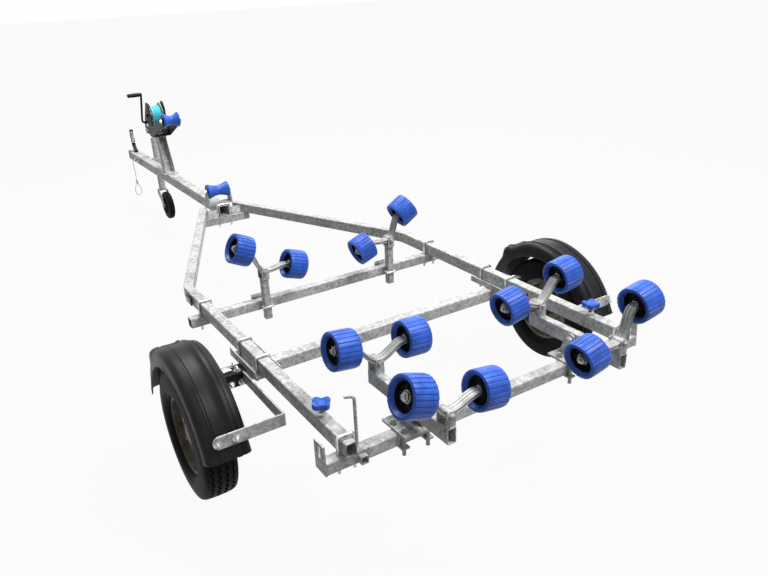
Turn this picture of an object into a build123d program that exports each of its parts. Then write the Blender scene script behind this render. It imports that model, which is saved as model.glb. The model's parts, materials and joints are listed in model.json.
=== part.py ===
from build123d import *
import os
from math import atan2, cos, degrees, hypot, radians, sin, tan

# Swing-cradle roller trailer for a small boat. Millimetres. +X is the trailer's right side, +Y runs
# forward to the coupling, +Z is up. The origin is on the floor, on the centreline, halfway along.
# Places along the trailer are "stations": distances forward from the rear end of the side rails.

# ---- side rails ----
rail_height = 50.0
rail_width = 40.0
rail_wall = 2.5
tube_corner = 5.0
rail_top = 424.0
rail_centre_x = 549.0
bend_station = 1310.0
bend_radius = 110.0
leg_front_station = 2380.0
leg_front_x = 95.0
rail_hole_station = 433.0
rail_dimple_station = 256.0
rail_hole_radius = 6.0

# ---- drawbar and nose ----
drawbar_width = 60.0
drawbar_height = 60.0
drawbar_wall = 3.0
drawbar_rear_station = 2300.0
drawbar_front_station = 4060.0
nose_bar_station = 2312.0
nose_bar_size = 40.0
nose_bar_half = 150.0

# ---- cross members ----
cross_size = 40.0
cross_wall = 2.5
cross_half = 620.0
front_cross_station = 1106.0
rear_cross_station = 8.0

# ---- bolts that clamp the frame ----
bolt_radius = 5.0
bolt_gap = 0.2
hole_clearance = 0.6
nut_thickness = 8.0
nut_radius = 9.5
bolt_tail = 14.0

# ---- axle and suspension ----
beam_size = 46.0
beam_wall = 4.0
beam_station = 628.0
plate_thickness = 8.0
plate_length = 220.0
plate_width = 92.0
plate_lip = 22.0
axle_bolt_reach = 76.0
housing_length_x = 80.0
housing_width = 66.0
housing_height = 56.0
swing_arm_thickness = 14.0
swing_arm_radius = 34.0
stub_radius = 12.5
running_gap = 0.05

# ---- wheels ----
tyre_radius = 222.0
tyre_width = 120.0
rim_radius = 127.0
rim_lip = 9.0
rim_width = 84.0
rim_wall = 4.0
wheel_centre_x = 799.0
wheel_station = 569.0
hub_radius = 34.0
hub_length = 62.0
disc_thickness = 5.0
wheel_bolt_circle = 101.6
wheel_bolt_count = 4
wheel_bolt_radius = 6.0
hand_hole_radius = 10.0

# ---- mudguards ----
guard_radius = 306.0
guard_forward = 0.0
guard_raise = -20.0
guard_wall = 4.0
guard_width = 146.0
guard_front_angle = 80.0
guard_rear_angle = 74.0
guard_valance = 46.0
guard_bead = 8.0
guard_bead_height = 3.0
stay_width = 42.0
stay_thickness = 6.0
stay_height = 350.0
stay_x = 606.0
stay_outer_reach = 23.0

# ---- posts and cradles ----
post_size = 30.0
post_x = 303.0
post_bottom = 298.0
post_clamp_width = 84.0
pivot_rise = 36.0
cradle_x = 333.0
cradle_width = 30.0
cradle_height = 50.0
cradle_wall = 3.0
cradle_length = 390.0
cradle_centre_height = 446.0
cradle_station = 13.0
arm_reach = 170.0
bracket_length = 120.0
bracket_width = 112.0
bracket_thickness = 8.0
ear_thickness = 6.0
ear_gap = 0.5
cradle_bolt_radius = 8.0

# ---- rocking arms and ribbed rollers ----
wing_rise = 25.0
wing_width = 33.0
wing_depth = 15.0
wing_wall = 3.0
roller_reach = 137.0
roller_radius = 60.0
roller_width = 78.0
roller_rim = 15.0
roller_web = 16.0
roller_shoulder = 5.0
roller_hub_radius = 21.0
roller_hub_width = 36.0
hub_gap = 8.0
spindle_radius = 10.0
pivot_bolt_radius = 6.0
pivot_sleeve_radius = 12.0
pivot_sleeve_length = 34.0
fork_thickness = 5.0
fork_radius = 15.0
pivot_drop = 28.0

# ---- keel roller ----
keel_station = 2372.0
keel_half = 62.0
keel_end_radius = 41.0
keel_waist_radius = 28.0
keel_pin_radius = 8.0
keel_plate = 6.0
keel_clearance = 28.0

# ---- winch post and bow roller ----
post_foot_station = 3300.0
post_head_station = 3372.0
post_head_height = 668.0
post_foot_half = 34.0
post_head_half = 27.0
post_depth = 62.0
post_wall = 4.0
bow_station = 3075.0
bow_rise = 144.0
bow_half = 50.0
bow_end_radius = 45.0
bow_waist_radius = 27.0
bow_pin_radius = 8.0
bow_plate = 6.0

# ---- winch ----
drum_station = 3412.0
drum_rise = 138.0
drum_radius = 24.0
flange_radius = 76.0
flange_thickness = 3.0
strap_radius = 58.0
drum_half = 33.0
winch_half = 52.0
winch_plate = 4.0
winch_plate_rise = 84.0
gear_radius = 68.0
crank_station = 3488.0
crank_rise = 84.0
crank_shaft_radius = 8.0
crank_length = 215.0
crank_lean = 26.0
crank_width = 20.0
crank_thickness = 7.0
grip_radius = 13.0
grip_length = 86.0

# ---- coupling ----
coupling_rear_station = 3905.0
coupling_wall = 4.0
coupling_gap = 0.3
coupling_drop = 6.0
coupling_bolt_inset = 30.0
coupling_bolt_pitch = 80.0
ball_station = 4240.0
ball_radius = 25.0
head_radius = 34.0
head_height = 52.0
lever_station = 4165.0
lever_length = 165.0

# ---- jockey wheel ----
jockey_x = 65.0
jockey_station = 3800.0
jockey_pad = 60.0
jockey_clamp_height = 70.0
jockey_handle = 58.0
jockey_tube_radius = 24.0
jockey_tube_wall = 2.5
jockey_tube_top = 590.0
jockey_tube_bottom = 212.0
jockey_leg_radius = 21.45
jockey_leg_length = 290.0
jockey_wheel_radius = 100.0
jockey_wheel_width = 50.0
jockey_trail = 84.0
jockey_pin_radius = 8.0
jockey_swivel_radius = 12.0
fork_plate = 5.0

# ---- sliding light-board tubes ----
slide_width = 34.0
slide_height = 44.0
slide_wall = 2.0
slide_length = 420.0
slide_overhang = 25.0
slide_clearance = 0.3
knob_station = 138.0
knob_radius = 18.0
knob_lobe_radius = 12.0
knob_height = 20.0
knob_clearance = 28.0

# ---- lashing plates ----
tie_thickness = 6.0
tie_reach = 18.0
tie_rise = 54.0
tie_slot_step = 12.0
tie_slot_rise = 26.0
tie_slot_length = 42.0
tie_slot_width = 15.0

# ---- hooked rod ----
hook_inset = 18.0
hook_stub_size = 26.0
hook_height = 162.0
hook_radius = 5.0

# ---- derived places ----
rail_bottom = rail_top - rail_height
pivot_height = cradle_centre_height + cradle_height / 2 + pivot_rise
bow_height = post_head_height + bow_rise
drum_height = post_head_height + drum_rise
crank_height = post_head_height + crank_rise
drawbar_bottom = rail_bottom
drawbar_top = drawbar_bottom + drawbar_height
keel_height = drawbar_top + keel_plate + keel_clearance + keel_end_radius
knob_centre_height = rail_top + knob_clearance + knob_height / 2
cross_centre = rail_bottom - cross_size / 2
plate_underside = rail_bottom - plate_thickness
beam_centre = plate_underside - beam_size / 2
beam_half = rail_centre_x + plate_width / 2 + 1.0
nose_station = ball_station + head_radius
rear_pivot_station = cradle_station - arm_reach
rear_station = rear_pivot_station - roller_radius
middle_station = (nose_station + rear_station) / 2


def place(x, station, height):
    """A point from its sideways place, its station along the trailer and its height."""
    return (x, station - middle_station, height)


def block(x_size, y_size, z_size, x, station, height):
    """A box centred on a place."""
    return Pos(*place(x, station, height)) * Box(x_size, y_size, z_size)


def box_tube(width, depth, length, wall, along, x, station, height):
    """An open-ended tube with round corners; width is level and depth upright, or X and Y."""
    x_dir, z_dir = {
        "X": ((0, 1, 0), (1, 0, 0)),
        "Y": ((1, 0, 0), (0, 1, 0)),
        "Z": ((1, 0, 0), (0, 0, 1)),
    }[along]
    plane = Plane(origin=place(x, station, height), x_dir=x_dir, z_dir=z_dir)
    corner = min(tube_corner, min(width, depth) / 4)
    section = RectangleRounded(width, depth, corner)
    section -= RectangleRounded(width - 2 * wall, depth - 2 * wall, max(corner - wall, 0.5))
    return extrude(plane * section, length / 2, both=True)


def rod(radius, length, direction, x, station, height):
    """A round bar centred on a place, lying along a direction."""
    plane = Plane(origin=place(x, station, height), z_dir=direction)
    return plane * Cylinder(radius, length)


def hexagon(radius, thickness, direction, x, station, height):
    """A nut or a bolt head centred on a place."""
    plane = Plane(origin=place(x, station, height), z_dir=direction)
    sketch = plane * RegularPolygon(radius, 6)
    return extrude(sketch, thickness / 2, both=True)


def profile_x(points, x, thickness):
    """A plate cut to an outline of (station, height) points, centred on x."""
    corners = [place(x - thickness / 2, s, z) for s, z in points]
    face = make_face(Polyline(*corners, close=True))
    return extrude(face, thickness, dir=(1, 0, 0))


def spin_about_x(points, x, station, height):
    """A turned shape from (offset along X, radius) points, turned about a line along X."""
    corners = [place(x + offset, station, height + radius) for offset, radius in points]
    face = make_face(Polyline(*corners, close=True))
    return revolve(face, Axis(place(x, station, height), (1, 0, 0)), 360)


def both_sides(shape):
    """The shape on the right and its mirror image on the left."""
    return [shape, mirror(shape, about=Plane.YZ)]


def save(node, *shapes):
    """Writes one node's solids as a STEP file named after the node."""
    solids = [solid for shape in shapes for solid in shape.solids()]
    whole = solids[0] if len(solids) == 1 else Compound(children=solids)
    export_step(whole, f"parts/{node}.step")


# ---- frame ----
def rail_path():
    return FilletPolyline(
        place(rail_centre_x, 0, rail_top - rail_height / 2),
        place(rail_centre_x, bend_station, rail_top - rail_height / 2),
        place(leg_front_x, leg_front_station, rail_top - rail_height / 2),
        radius=bend_radius,
    )


def swept_rail(inset):
    """The rail's outline, or its bore where inset is the wall, swept along its path."""
    path = rail_path()
    plane = Plane(origin=path @ 0, x_dir=(1, 0, 0), z_dir=(0, 1, 0))
    section = RectangleRounded(rail_width - 2 * inset, rail_height - 2 * inset, tube_corner - inset)
    return sweep(plane * section, path)


def side_rail():
    """One bent side rail: a straight run, a bend and the leg that runs in to the nose."""
    tube = swept_rail(0) - swept_rail(rail_wall)
    hole = rod(
        rail_hole_radius, rail_width + 2, (1, 0, 0), rail_centre_x, rail_hole_station,
        rail_top - rail_height / 2,
    )
    outer_hole = rod(
        rail_hole_radius, rail_width / 2, (1, 0, 0), rail_centre_x + rail_width / 2,
        rail_dimple_station, rail_top - rail_height / 2,
    )
    return tube - hole - outer_hole


def clamp_bolt(x, station, top, half_gap, nut_height):
    """A U-bolt over a tube that lies along Y: two legs, a bent crown and a nut on each leg."""
    leg = half_gap + bolt_radius + bolt_gap
    foot = nut_height - nut_thickness - bolt_tail
    crown = top + bolt_radius + bolt_gap
    path = FilletPolyline(
        place(x - leg, station, foot),
        place(x - leg, station, crown),
        place(x + leg, station, crown),
        place(x + leg, station, foot),
        radius=bolt_radius * 1.6,
    )
    start = Plane(origin=path @ 0, z_dir=path % 0)
    bolt = sweep(start * Circle(bolt_radius), path)
    for side in (-leg, leg):
        bolt += hexagon(
            nut_radius, nut_thickness, (0, 0, 1), x + side, station, nut_height - nut_thickness / 2
        )
    return bolt


def bolt_leg_holes(x, station, half_gap, height, depth):
    """The two drilled holes that a U-bolt's legs pass through."""
    leg = half_gap + bolt_radius + bolt_gap
    return [
        rod(bolt_radius + hole_clearance, depth, (0, 0, 1), x + side, station, height)
        for side in (-leg, leg)
    ]


def cross_member(station):
    tube = box_tube(
        cross_size, cross_size, 2 * cross_half, cross_wall, "X", 0, station, cross_centre
    )
    for side in (-1, 1):
        for hole in bolt_leg_holes(
            side * rail_centre_x, station, rail_width / 2, cross_centre, cross_size + 2
        ):
            tube -= hole
    return tube


def front_cross_member():
    """The front cross member, also drilled for the U-bolts around its two posts."""
    tube = cross_member(front_cross_station)
    for side in (-1, 1):
        for leg in (-1, 1):
            tube -= rod(
                bolt_radius + hole_clearance, cross_size + 2, (0, 1, 0),
                side * post_x + leg * (post_size / 2 + bolt_radius + bolt_gap),
                front_cross_station, cross_centre,
            )
    return tube


def rear_cross_member():
    """The rear cross member with its two lashing plates welded on."""
    tube = cross_member(rear_cross_station)
    for plate in both_sides(tie_plate()):
        tube += plate
    return tube


def axle_plate():
    """The folded plate that sits under a rail and carries the axle beam."""
    plate = block(
        plate_width, plate_length, plate_thickness, rail_centre_x, beam_station,
        rail_bottom - plate_thickness / 2,
    )
    lip_height = plate_lip + plate_thickness
    lip = block(
        plate_thickness / 2, plate_length, lip_height,
        rail_centre_x + plate_width / 2 - plate_thickness / 4, beam_station,
        rail_bottom - plate_thickness + lip_height / 2,
    )
    body = plate + lip
    for step in (-axle_bolt_reach, axle_bolt_reach):
        for hole in bolt_leg_holes(
            rail_centre_x, beam_station + step, rail_width / 2, rail_bottom, 4 * plate_thickness
        ):
            body -= hole
    return body


def axle_beam():
    beam = box_tube(
        beam_size, beam_size, 2 * beam_half, beam_wall, "X", 0, beam_station, beam_centre
    )
    for plate in both_sides(axle_plate()):
        beam += plate
    return beam


def frame_u_bolts():
    """The U-bolts over the rails: rows of (station, height of the nuts' upper faces)."""
    rows = (
        (rear_cross_station, rail_bottom - cross_size),
        (front_cross_station, rail_bottom - cross_size),
        (beam_station - axle_bolt_reach, plate_underside),
        (beam_station + axle_bolt_reach, plate_underside),
    )
    bolts = []
    for station, nut_height in rows:
        bolts += both_sides(
            clamp_bolt(rail_centre_x, station, rail_top, rail_width / 2, nut_height)
        )
    return bolts


def drawbar():
    length = drawbar_front_station - drawbar_rear_station
    return box_tube(
        drawbar_width, drawbar_height, length, drawbar_wall, "Y", 0,
        drawbar_rear_station + length / 2, drawbar_bottom + drawbar_height / 2,
    )


def leg_centre_x(station):
    """How far out a leg's centreline is at a station between the bend and the nose."""
    share = (station - bend_station) / (leg_front_station - bend_station)
    return rail_centre_x + share * (leg_front_x - rail_centre_x)


def nose_cross_bar():
    """The bar under the legs and the drawbar, round at its ends, with its two gusset plates."""
    bar = block(
        2 * nose_bar_half - nose_bar_size, nose_bar_size, nose_bar_size, 0, nose_bar_station,
        drawbar_bottom - nose_bar_size / 2,
    )
    for side in (-1, 1):
        bar += rod(
            nose_bar_size / 2, nose_bar_size, (0, 0, 1), side * (nose_bar_half - nose_bar_size / 2),
            nose_bar_station, drawbar_bottom - nose_bar_size / 2,
        )
    for hole in bolt_leg_holes(
        0, nose_bar_station, drawbar_width / 2, drawbar_bottom - nose_bar_size / 2,
        nose_bar_size + 2,
    ):
        bar -= hole
    return bar


def nose_clamp():
    """The U-bolt over the drawbar and the angle plates that fill the nose beside it."""
    bolt = clamp_bolt(
        0, nose_bar_station, drawbar_top, drawbar_width / 2, drawbar_bottom - nose_bar_size
    )
    inner = drawbar_width / 2 + 2 * bolt_radius + 2 * bolt_gap + 1.0
    outer = leg_centre_x(nose_bar_station) - rail_width / 2 / cos(leg_angle()) - 5.0
    plates = []
    for side in (-1, 1):
        plates.append(
            block(
                outer - inner, 2 * bolt_radius, rail_height - 8.0, side * (inner + outer) / 2,
                nose_bar_station, drawbar_bottom + rail_height / 2 - 4.0 + bolt_gap,
            )
        )
    return [bolt] + plates


def leg_angle():
    return atan2(rail_centre_x - leg_front_x, leg_front_station - bend_station)


# ---- suspension and wheels ----
housing_x = beam_half + housing_length_x / 2
arm_x = beam_half + housing_length_x + swing_arm_thickness / 2 + 1.0
hub_inner_x = wheel_centre_x - hub_length / 2 - 14.0


def suspension_unit():
    """Rubber-sprung unit on the beam's end: housing, trailing arm and stub axle."""
    housing = block(
        housing_length_x, housing_width, housing_height, housing_x, beam_station, beam_centre
    )
    housing = fillet(housing.edges().filter_by(Axis.X), 10.0)
    boss = rod(
        swing_arm_radius - 8.0, 2.0, (1, 0, 0), beam_half + housing_length_x, beam_station,
        beam_centre,
    )
    start = place(arm_x, beam_station, beam_centre)
    finish = place(arm_x, wheel_station, tyre_radius)
    length = hypot(finish[1] - start[1], finish[2] - start[2])
    lean = degrees(atan2(finish[2] - start[2], finish[1] - start[1]))
    bar = Pos(*start) * Rot(lean, 0, 0) * Pos(0, length / 2, 0)
    arm = bar * Box(swing_arm_thickness, length, 1.5 * swing_arm_radius)
    for point in (start, finish):
        arm += Plane(origin=point, z_dir=(1, 0, 0)) * Cylinder(swing_arm_radius, swing_arm_thickness)
    stub_end = wheel_centre_x + hub_length / 2 - 16.0
    stub = rod(
        stub_radius, stub_end - arm_x, (1, 0, 0), (stub_end + arm_x) / 2, wheel_station, tyre_radius
    )
    spacer_end = hub_inner_x - 1.0
    spacer = rod(
        stub_radius + 8.0, spacer_end - arm_x, (1, 0, 0), (spacer_end + arm_x) / 2, wheel_station,
        tyre_radius,
    )
    return housing + boss + arm + stub + spacer


def tyre():
    """The tyre, from (offset across the wheel, radius) points, left to right over the tread."""
    half = tyre_width / 2
    bead = rim_width / 2 - rim_wall - 0.3
    shoulder = tyre_radius - 14.0
    widest = rim_radius + 0.45 * (tyre_radius - rim_radius)
    points = [
        (-bead, rim_radius + 0.3),
        (-bead, rim_radius + rim_lip + 3.0),
        (-half, widest),
        (-half + 4.0, shoulder - 14.0),
        (-half + 16.0, shoulder + 6.0),
        (-half + 28.0, tyre_radius),
        (half - 28.0, tyre_radius),
        (half - 16.0, shoulder + 6.0),
        (half - 4.0, shoulder - 14.0),
        (half, widest),
        (bead, rim_radius + rim_lip + 3.0),
        (bead, rim_radius + 0.3),
    ]
    return spin_about_x(points, wheel_centre_x, wheel_station, tyre_radius)


def rim():
    """Pressed rim, disc and hub in one, from (offset across the wheel, radius) points."""
    half = rim_width / 2
    barrel = spin_about_x(
        [
            (-half, rim_radius + rim_lip),
            (-half + rim_wall, rim_radius + rim_lip),
            (-half + rim_wall, rim_radius),
            (-half + 22.0, rim_radius),
            (-half + 30.0, rim_radius - 14.0),
            (half - 34.0, rim_radius - 14.0),
            (half - 26.0, rim_radius),
            (half - rim_wall, rim_radius),
            (half - rim_wall, rim_radius + rim_lip),
            (half, rim_radius + rim_lip),
            (half, rim_radius - rim_wall),
            (half - 24.0, rim_radius - rim_wall),
            (half - 32.0, rim_radius - 14.0 - rim_wall),
            (-half + 28.0, rim_radius - 14.0 - rim_wall),
            (-half + 20.0, rim_radius - rim_wall),
            (-half, rim_radius - rim_wall),
        ],
        wheel_centre_x, wheel_station, tyre_radius,
    )
    disc = rod(
        rim_radius - 6.0, disc_thickness, (1, 0, 0), wheel_centre_x + hub_length / 4,
        wheel_station, tyre_radius,
    )
    hub_outer_x = wheel_centre_x + hub_length / 2
    hub = rod(
        hub_radius, hub_outer_x - hub_inner_x, (1, 0, 0), (hub_outer_x + hub_inner_x) / 2,
        wheel_station, tyre_radius,
    )
    wheel = barrel + disc + hub
    bore_end = wheel_centre_x + hub_length / 2 - 12.0
    wheel -= rod(
        stub_radius + running_gap, bore_end - hub_inner_x + 2.0, (1, 0, 0),
        (bore_end + hub_inner_x - 2.0) / 2, wheel_station, tyre_radius,
    )
    flange = rod(
        wheel_bolt_circle / 2 + 14.0, 7.0, (1, 0, 0),
        wheel_centre_x + hub_length / 4 - disc_thickness / 2 - 3.5, wheel_station, tyre_radius,
    )
    wheel += flange - rod(
        hub_radius - 1.0, 9.0, (1, 0, 0),
        wheel_centre_x + hub_length / 4 - disc_thickness / 2 - 3.5, wheel_station, tyre_radius,
    )
    for index in range(wheel_bolt_count):
        turn = radians(360.0 / wheel_bolt_count * (index + 0.5))
        reach = wheel_bolt_circle / 2
        nut_x = wheel_centre_x + hub_length / 4 + disc_thickness / 2
        wheel += hexagon(
            wheel_bolt_radius * 1.6, 14.0, (1, 0, 0), nut_x + 6.0,
            wheel_station + reach * cos(turn), tyre_radius + reach * sin(turn),
        )
        turn += radians(180.0 / wheel_bolt_count)
        reach = (wheel_bolt_circle / 2 + rim_radius) / 2
        wheel -= rod(
            hand_hole_radius, 4 * disc_thickness, (1, 0, 0), wheel_centre_x + hub_length / 4,
            wheel_station + reach * cos(turn), tyre_radius + reach * sin(turn),
        )
    return wheel


# ---- mudguards ----
guard_x = wheel_centre_x - 8.0


def on_guard(angle, radius):
    """Station and height of a point at an angle from the top, rearwards positive."""
    turn = radians(angle)
    station = wheel_station + guard_forward - radius * sin(turn)
    return (station, tyre_radius + guard_raise + radius * cos(turn))


def guard_sector(inner, outer, x, width):
    """A band around the wheel between two radii, over the mudguard's angles."""
    start, end = -guard_front_angle, guard_rear_angle
    middle = (start + end) / 2
    loop = [on_guard(a, outer) for a in (start, middle, end)]
    loop += [on_guard(a, inner) for a in (end, middle, start)]
    p = [place(x - width / 2, s, z) for s, z in loop]
    face = make_face(
        [
            ThreePointArc(p[0], p[1], p[2]),
            Line(p[2], p[3]),
            ThreePointArc(p[3], p[4], p[5]),
            Line(p[5], p[0]),
        ]
    )
    return extrude(face, width, dir=(1, 0, 0))


def mudguard():
    """Moulded mudguard: a crown with a valance down each side and two raised beads."""
    shell = guard_sector(guard_radius - guard_valance, guard_radius, guard_x, guard_width)
    shell = chamfer(
        shell.edges().filter_by(GeomType.CIRCLE).group_by(lambda e: e.radius)[-1], 14.0
    )
    bore = guard_sector(
        guard_radius - 2 * guard_valance, guard_radius - guard_wall, guard_x,
        guard_width - 2 * guard_wall,
    )
    bore = chamfer(
        bore.edges().filter_by(GeomType.CIRCLE).group_by(lambda e: e.radius)[-1], 12.0
    )
    shell -= bore
    for offset in (-0.2, 0.2):
        shell += guard_sector(
            guard_radius - guard_wall / 2, guard_radius + guard_bead_height, guard_x + offset * guard_width,
            guard_bead,
        )
    return shell


def rear_stay():
    """Flat bar from the suspension back past the wheel, then out along the mudguard's end."""
    height = stay_height
    drop = height - stay_width / 2 - tyre_radius - guard_raise
    reach = (guard_radius**2 - drop**2) ** 0.5
    rear = wheel_station + guard_forward - reach - guard_bead_height - 1.0 - stay_thickness
    front = beam_station - housing_width / 2
    outer = guard_x + stay_outer_reach
    long_run = block(
        stay_thickness, front - rear, stay_width, stay_x,
        (front + rear) / 2, height,
    )
    cross_run = block(
        outer - stay_x + stay_thickness / 2, stay_thickness, stay_width,
        (outer + stay_x - stay_thickness / 2) / 2, rear + stay_thickness / 2, height,
    )
    tip = rod(
        stay_width / 2, stay_thickness, (0, 1, 0), outer, rear + stay_thickness / 2,
        height,
    )
    bar = long_run + cross_run + tip
    return bar


# ---- rollers and arms ----
def fork(x, station, foot_height, half_width):
    """Two round-topped ears with their pivot bolt, standing on a post or a cradle tube."""
    parts = []
    for side in (-1, 1):
        middle = station + side * (pivot_sleeve_length / 2 + 0.5 + fork_thickness / 2)
        ear = block(
            2 * half_width, fork_thickness, pivot_height - foot_height, x, middle,
            (pivot_height + foot_height) / 2,
        )
        ear += rod(fork_radius, fork_thickness, (0, 1, 0), x, middle, pivot_height)
        parts.append(ear)
    span = pivot_sleeve_length + 1.0 + 2 * fork_thickness
    bolt = rod(pivot_bolt_radius, span + 22.0, (0, 1, 0), x, station, pivot_height)
    for side in (-1, 1):
        bolt += hexagon(
            nut_radius, nut_thickness, (0, 1, 0), x,
            station + side * (span / 2 + nut_thickness / 2), pivot_height,
        )
    return parts[0] + parts[1] + bolt


def front_post():
    """Square post on the rear face of the front cross member, with the fork at its head."""
    station = front_cross_station - cross_size / 2 - post_size / 2
    head = pivot_height - pivot_drop
    post = box_tube(
        post_size, post_size, head - post_bottom, 3.0, "Z", post_x, station,
        (head + post_bottom) / 2,
    )
    width = pivot_sleeve_length + 1.0 + 2 * fork_thickness
    saddle = block(post_size, width, 5.0, post_x, station, head - 2.5)
    return post + saddle + fork(post_x, station, head - 5.0, post_size / 2)


def post_clamp():
    """The U-bolt around a front post and the plate on the cross member's front face."""
    rear = front_cross_station - cross_size / 2 - post_size - bolt_radius - bolt_gap
    front = front_cross_station + cross_size / 2
    leg = post_size / 2 + bolt_radius + bolt_gap
    nut_front = front + 6.0 + nut_thickness + bolt_tail / 2
    path = FilletPolyline(
        place(post_x - leg, nut_front, cross_centre),
        place(post_x - leg, rear, cross_centre),
        place(post_x + leg, rear, cross_centre),
        place(post_x + leg, nut_front, cross_centre),
        radius=bolt_radius * 1.6,
    )
    bolt = sweep(Plane(origin=path @ 0, z_dir=path % 0) * Circle(bolt_radius), path)
    bolt += block(post_clamp_width, 6.0, cross_size + 22.0, post_x, front + 3.0 + bolt_gap, cross_centre + 6.0)
    for side in (-leg, leg):
        bolt += hexagon(
            nut_radius, nut_thickness, (0, 1, 0), post_x + side,
            front + 6.0 + nut_thickness / 2, cross_centre,
        )
    return bolt


def cradle_tube():
    """Swinging cradle: a tall tube on a cross pivot, with a fork near each end."""
    tube = box_tube(
        cradle_width, cradle_height, cradle_length, cradle_wall, "Y", cradle_x, cradle_station,
        cradle_centre_height,
    )
    tube -= rod(
        cradle_bolt_radius + running_gap, cradle_width + 2, (1, 0, 0), cradle_x, cradle_station,
        cradle_centre_height,
    )
    top = cradle_centre_height + cradle_height / 2
    for step in (-arm_reach, arm_reach):
        width = pivot_sleeve_length + 1.0 + 2 * fork_thickness
        seat_height = min(5.0, pivot_height - pivot_drop - top)
        seat = block(
            cradle_width, width, seat_height, cradle_x, cradle_station + step,
            top + seat_height / 2,
        )
        tube += seat
        tube += fork(cradle_x, cradle_station + step, top, cradle_width / 2)
    return tube


def cradle_bracket():
    """Base plate on the rear cross member, two ears beside the tube and the tilt bolt."""
    base_top = rail_bottom + bracket_thickness
    bracket = block(
        bracket_width, bracket_length, bracket_thickness, cradle_x, cradle_station,
        rail_bottom + bracket_thickness / 2,
    )
    ear_height = cradle_centre_height - base_top
    for side in (-1, 1):
        x = cradle_x + side * (cradle_width / 2 + ear_gap + ear_thickness / 2)
        foot = 0.38 * bracket_length
        bracket += profile_x(
            [
                (cradle_station - foot, base_top - 1.0),
                (cradle_station + foot, base_top - 1.0),
                (cradle_station + 20.0, base_top + ear_height),
                (cradle_station - 20.0, base_top + ear_height),
            ],
            x, ear_thickness,
        )
        bracket += rod(20.0, ear_thickness, (1, 0, 0), x, cradle_station, cradle_centre_height)
    span = cradle_width + 2 * ear_gap + 2 * ear_thickness
    bracket += rod(
        cradle_bolt_radius, span + 28.0, (1, 0, 0), cradle_x, cradle_station, cradle_centre_height
    )
    for side in (-1, 1):
        bracket += hexagon(
            13.0, 10.0, (1, 0, 0), cradle_x + side * (span / 2 + 5.0), cradle_station,
            cradle_centre_height,
        )
    stud_length = bracket_thickness + cross_size + 44.0
    for side_x in (-1, 1):
        for side_y in (-1, 1):
            x = cradle_x + side_x * (bracket_width / 2 - 14.0)
            station = rear_cross_station + side_y * (cross_size / 2 + 7.0)
            bracket += rod(
                6.0, stud_length, (0, 0, 1), x, station, base_top + 14.0 - stud_length / 2
            )
            bracket += hexagon(nut_radius, 9.0, (0, 0, 1), x, station, base_top + 4.5)
    for side_x in (-1, 1):
        x = cradle_x + side_x * (bracket_width / 2 - 14.0)
        bracket += block(
            26.0, cross_size + 36.0, 6.0, x, rear_cross_station,
            rail_bottom - cross_size - 3.0 - bolt_gap,
        )
    return bracket


def on_roller_axis(side, rock, lean, back):
    """From the pivot, a point on a roller's axis that lies back from its centre: across and up."""
    rise = radians(wing_rise + side * rock)
    tilt = radians(lean)
    across = side * (roller_reach * cos(rise) - back * cos(tilt))
    return (across, roller_reach * sin(rise) - side * back * sin(tilt))


def rocker_arm(x, station, rock, leans):
    """Gull-wing arm: a sleeve on the pivot bolt and a pressed wing and spindle to each side."""
    pivot = Pos(*place(x, station, pivot_height))
    arm = pivot * Rot(90, 0, 0) * Cylinder(pivot_sleeve_radius, pivot_sleeve_length)
    root = roller_hub_width / 2 + hub_gap
    tip = roller_width / 2 - wing_wall
    for side, lean in zip((-1, 1), leans):
        across, up = on_roller_axis(side, rock, lean, root)
        length = hypot(across, up)
        turn = pivot * Rot(0, -degrees(atan2(up, across)), 0)
        wing = turn * Pos(length / 2, 0, 0) * Box(length, wing_width, wing_depth)
        hollow = turn * Pos(length / 2 + 2 * wing_wall, 0, -side * wing_wall)
        wing -= hollow * Box(length - 8 * wing_wall, wing_width - 2 * wing_wall, wing_depth)
        arm += wing
        across, up = on_roller_axis(side, rock, lean, 0.0)
        axle = pivot * Pos(across, 0, up) * Rot(0, 90 - lean, 0)
        arm += axle * Pos(0, 0, side * (tip - root - wing_wall) / 2) * Cylinder(
            spindle_radius, tip + root + wing_wall
        )
        nut = axle * Pos(0, 0, side * (roller_hub_width / 2 + 6.0))
        arm += nut * extrude(RegularPolygon(15.0, 6), 4.5, both=True)
    arm -= pivot * Rot(90, 0, 0) * Cylinder(
        pivot_bolt_radius + running_gap, pivot_sleeve_length + wing_width
    )
    return arm


def roller(x, station, rock, side, lean):
    """One ribbed roller, recessed at both faces, on a wing of an arm."""
    across, up = on_roller_axis(side, rock, lean, 0.0)
    where = Pos(*place(x + across, station, pivot_height + up)) * Rot(0, 90 - lean, 0)
    recess = (roller_width - roller_web) / 2
    body = Cylinder(roller_radius, roller_width)
    body = chamfer(body.edges().filter_by(GeomType.CIRCLE), min(roller_shoulder, roller_rim / 2))
    for end in (-1, 1):
        body -= Pos(0, 0, end * (roller_web / 2 + recess / 2 + 0.5)) * Cylinder(
            roller_radius - roller_rim, recess + 1.0
        )
    body += Cylinder(roller_hub_radius, roller_hub_width - 1.0)
    body -= Cylinder(spindle_radius + running_gap, roller_width)
    return where * body


# Arms: name, side (+1 right), place across, station, rest angle with the outer roller up, and
# how far the inner and the outer roller lean the same way, as they wobble on their spindles.
front_pivot_station = front_cross_station - cross_size / 2 - post_size / 2
arms = (
    ("front_left", -1, post_x, front_pivot_station, 27.0, 18.5, 25.5),
    ("front_right", 1, post_x, front_pivot_station, 31.0, 21.0, 31.0),
    ("middle_left", -1, cradle_x, cradle_station + arm_reach, 8.0, 3.5, 7.5),
    ("middle_right", 1, cradle_x, cradle_station + arm_reach, 12.0, 10.5, 9.0),
    ("rear_left", -1, cradle_x, rear_pivot_station, 15.0, 8.5, 19.0),
    ("rear_right", 1, cradle_x, rear_pivot_station, 28.0, 11.5, 9.0),
)


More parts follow.
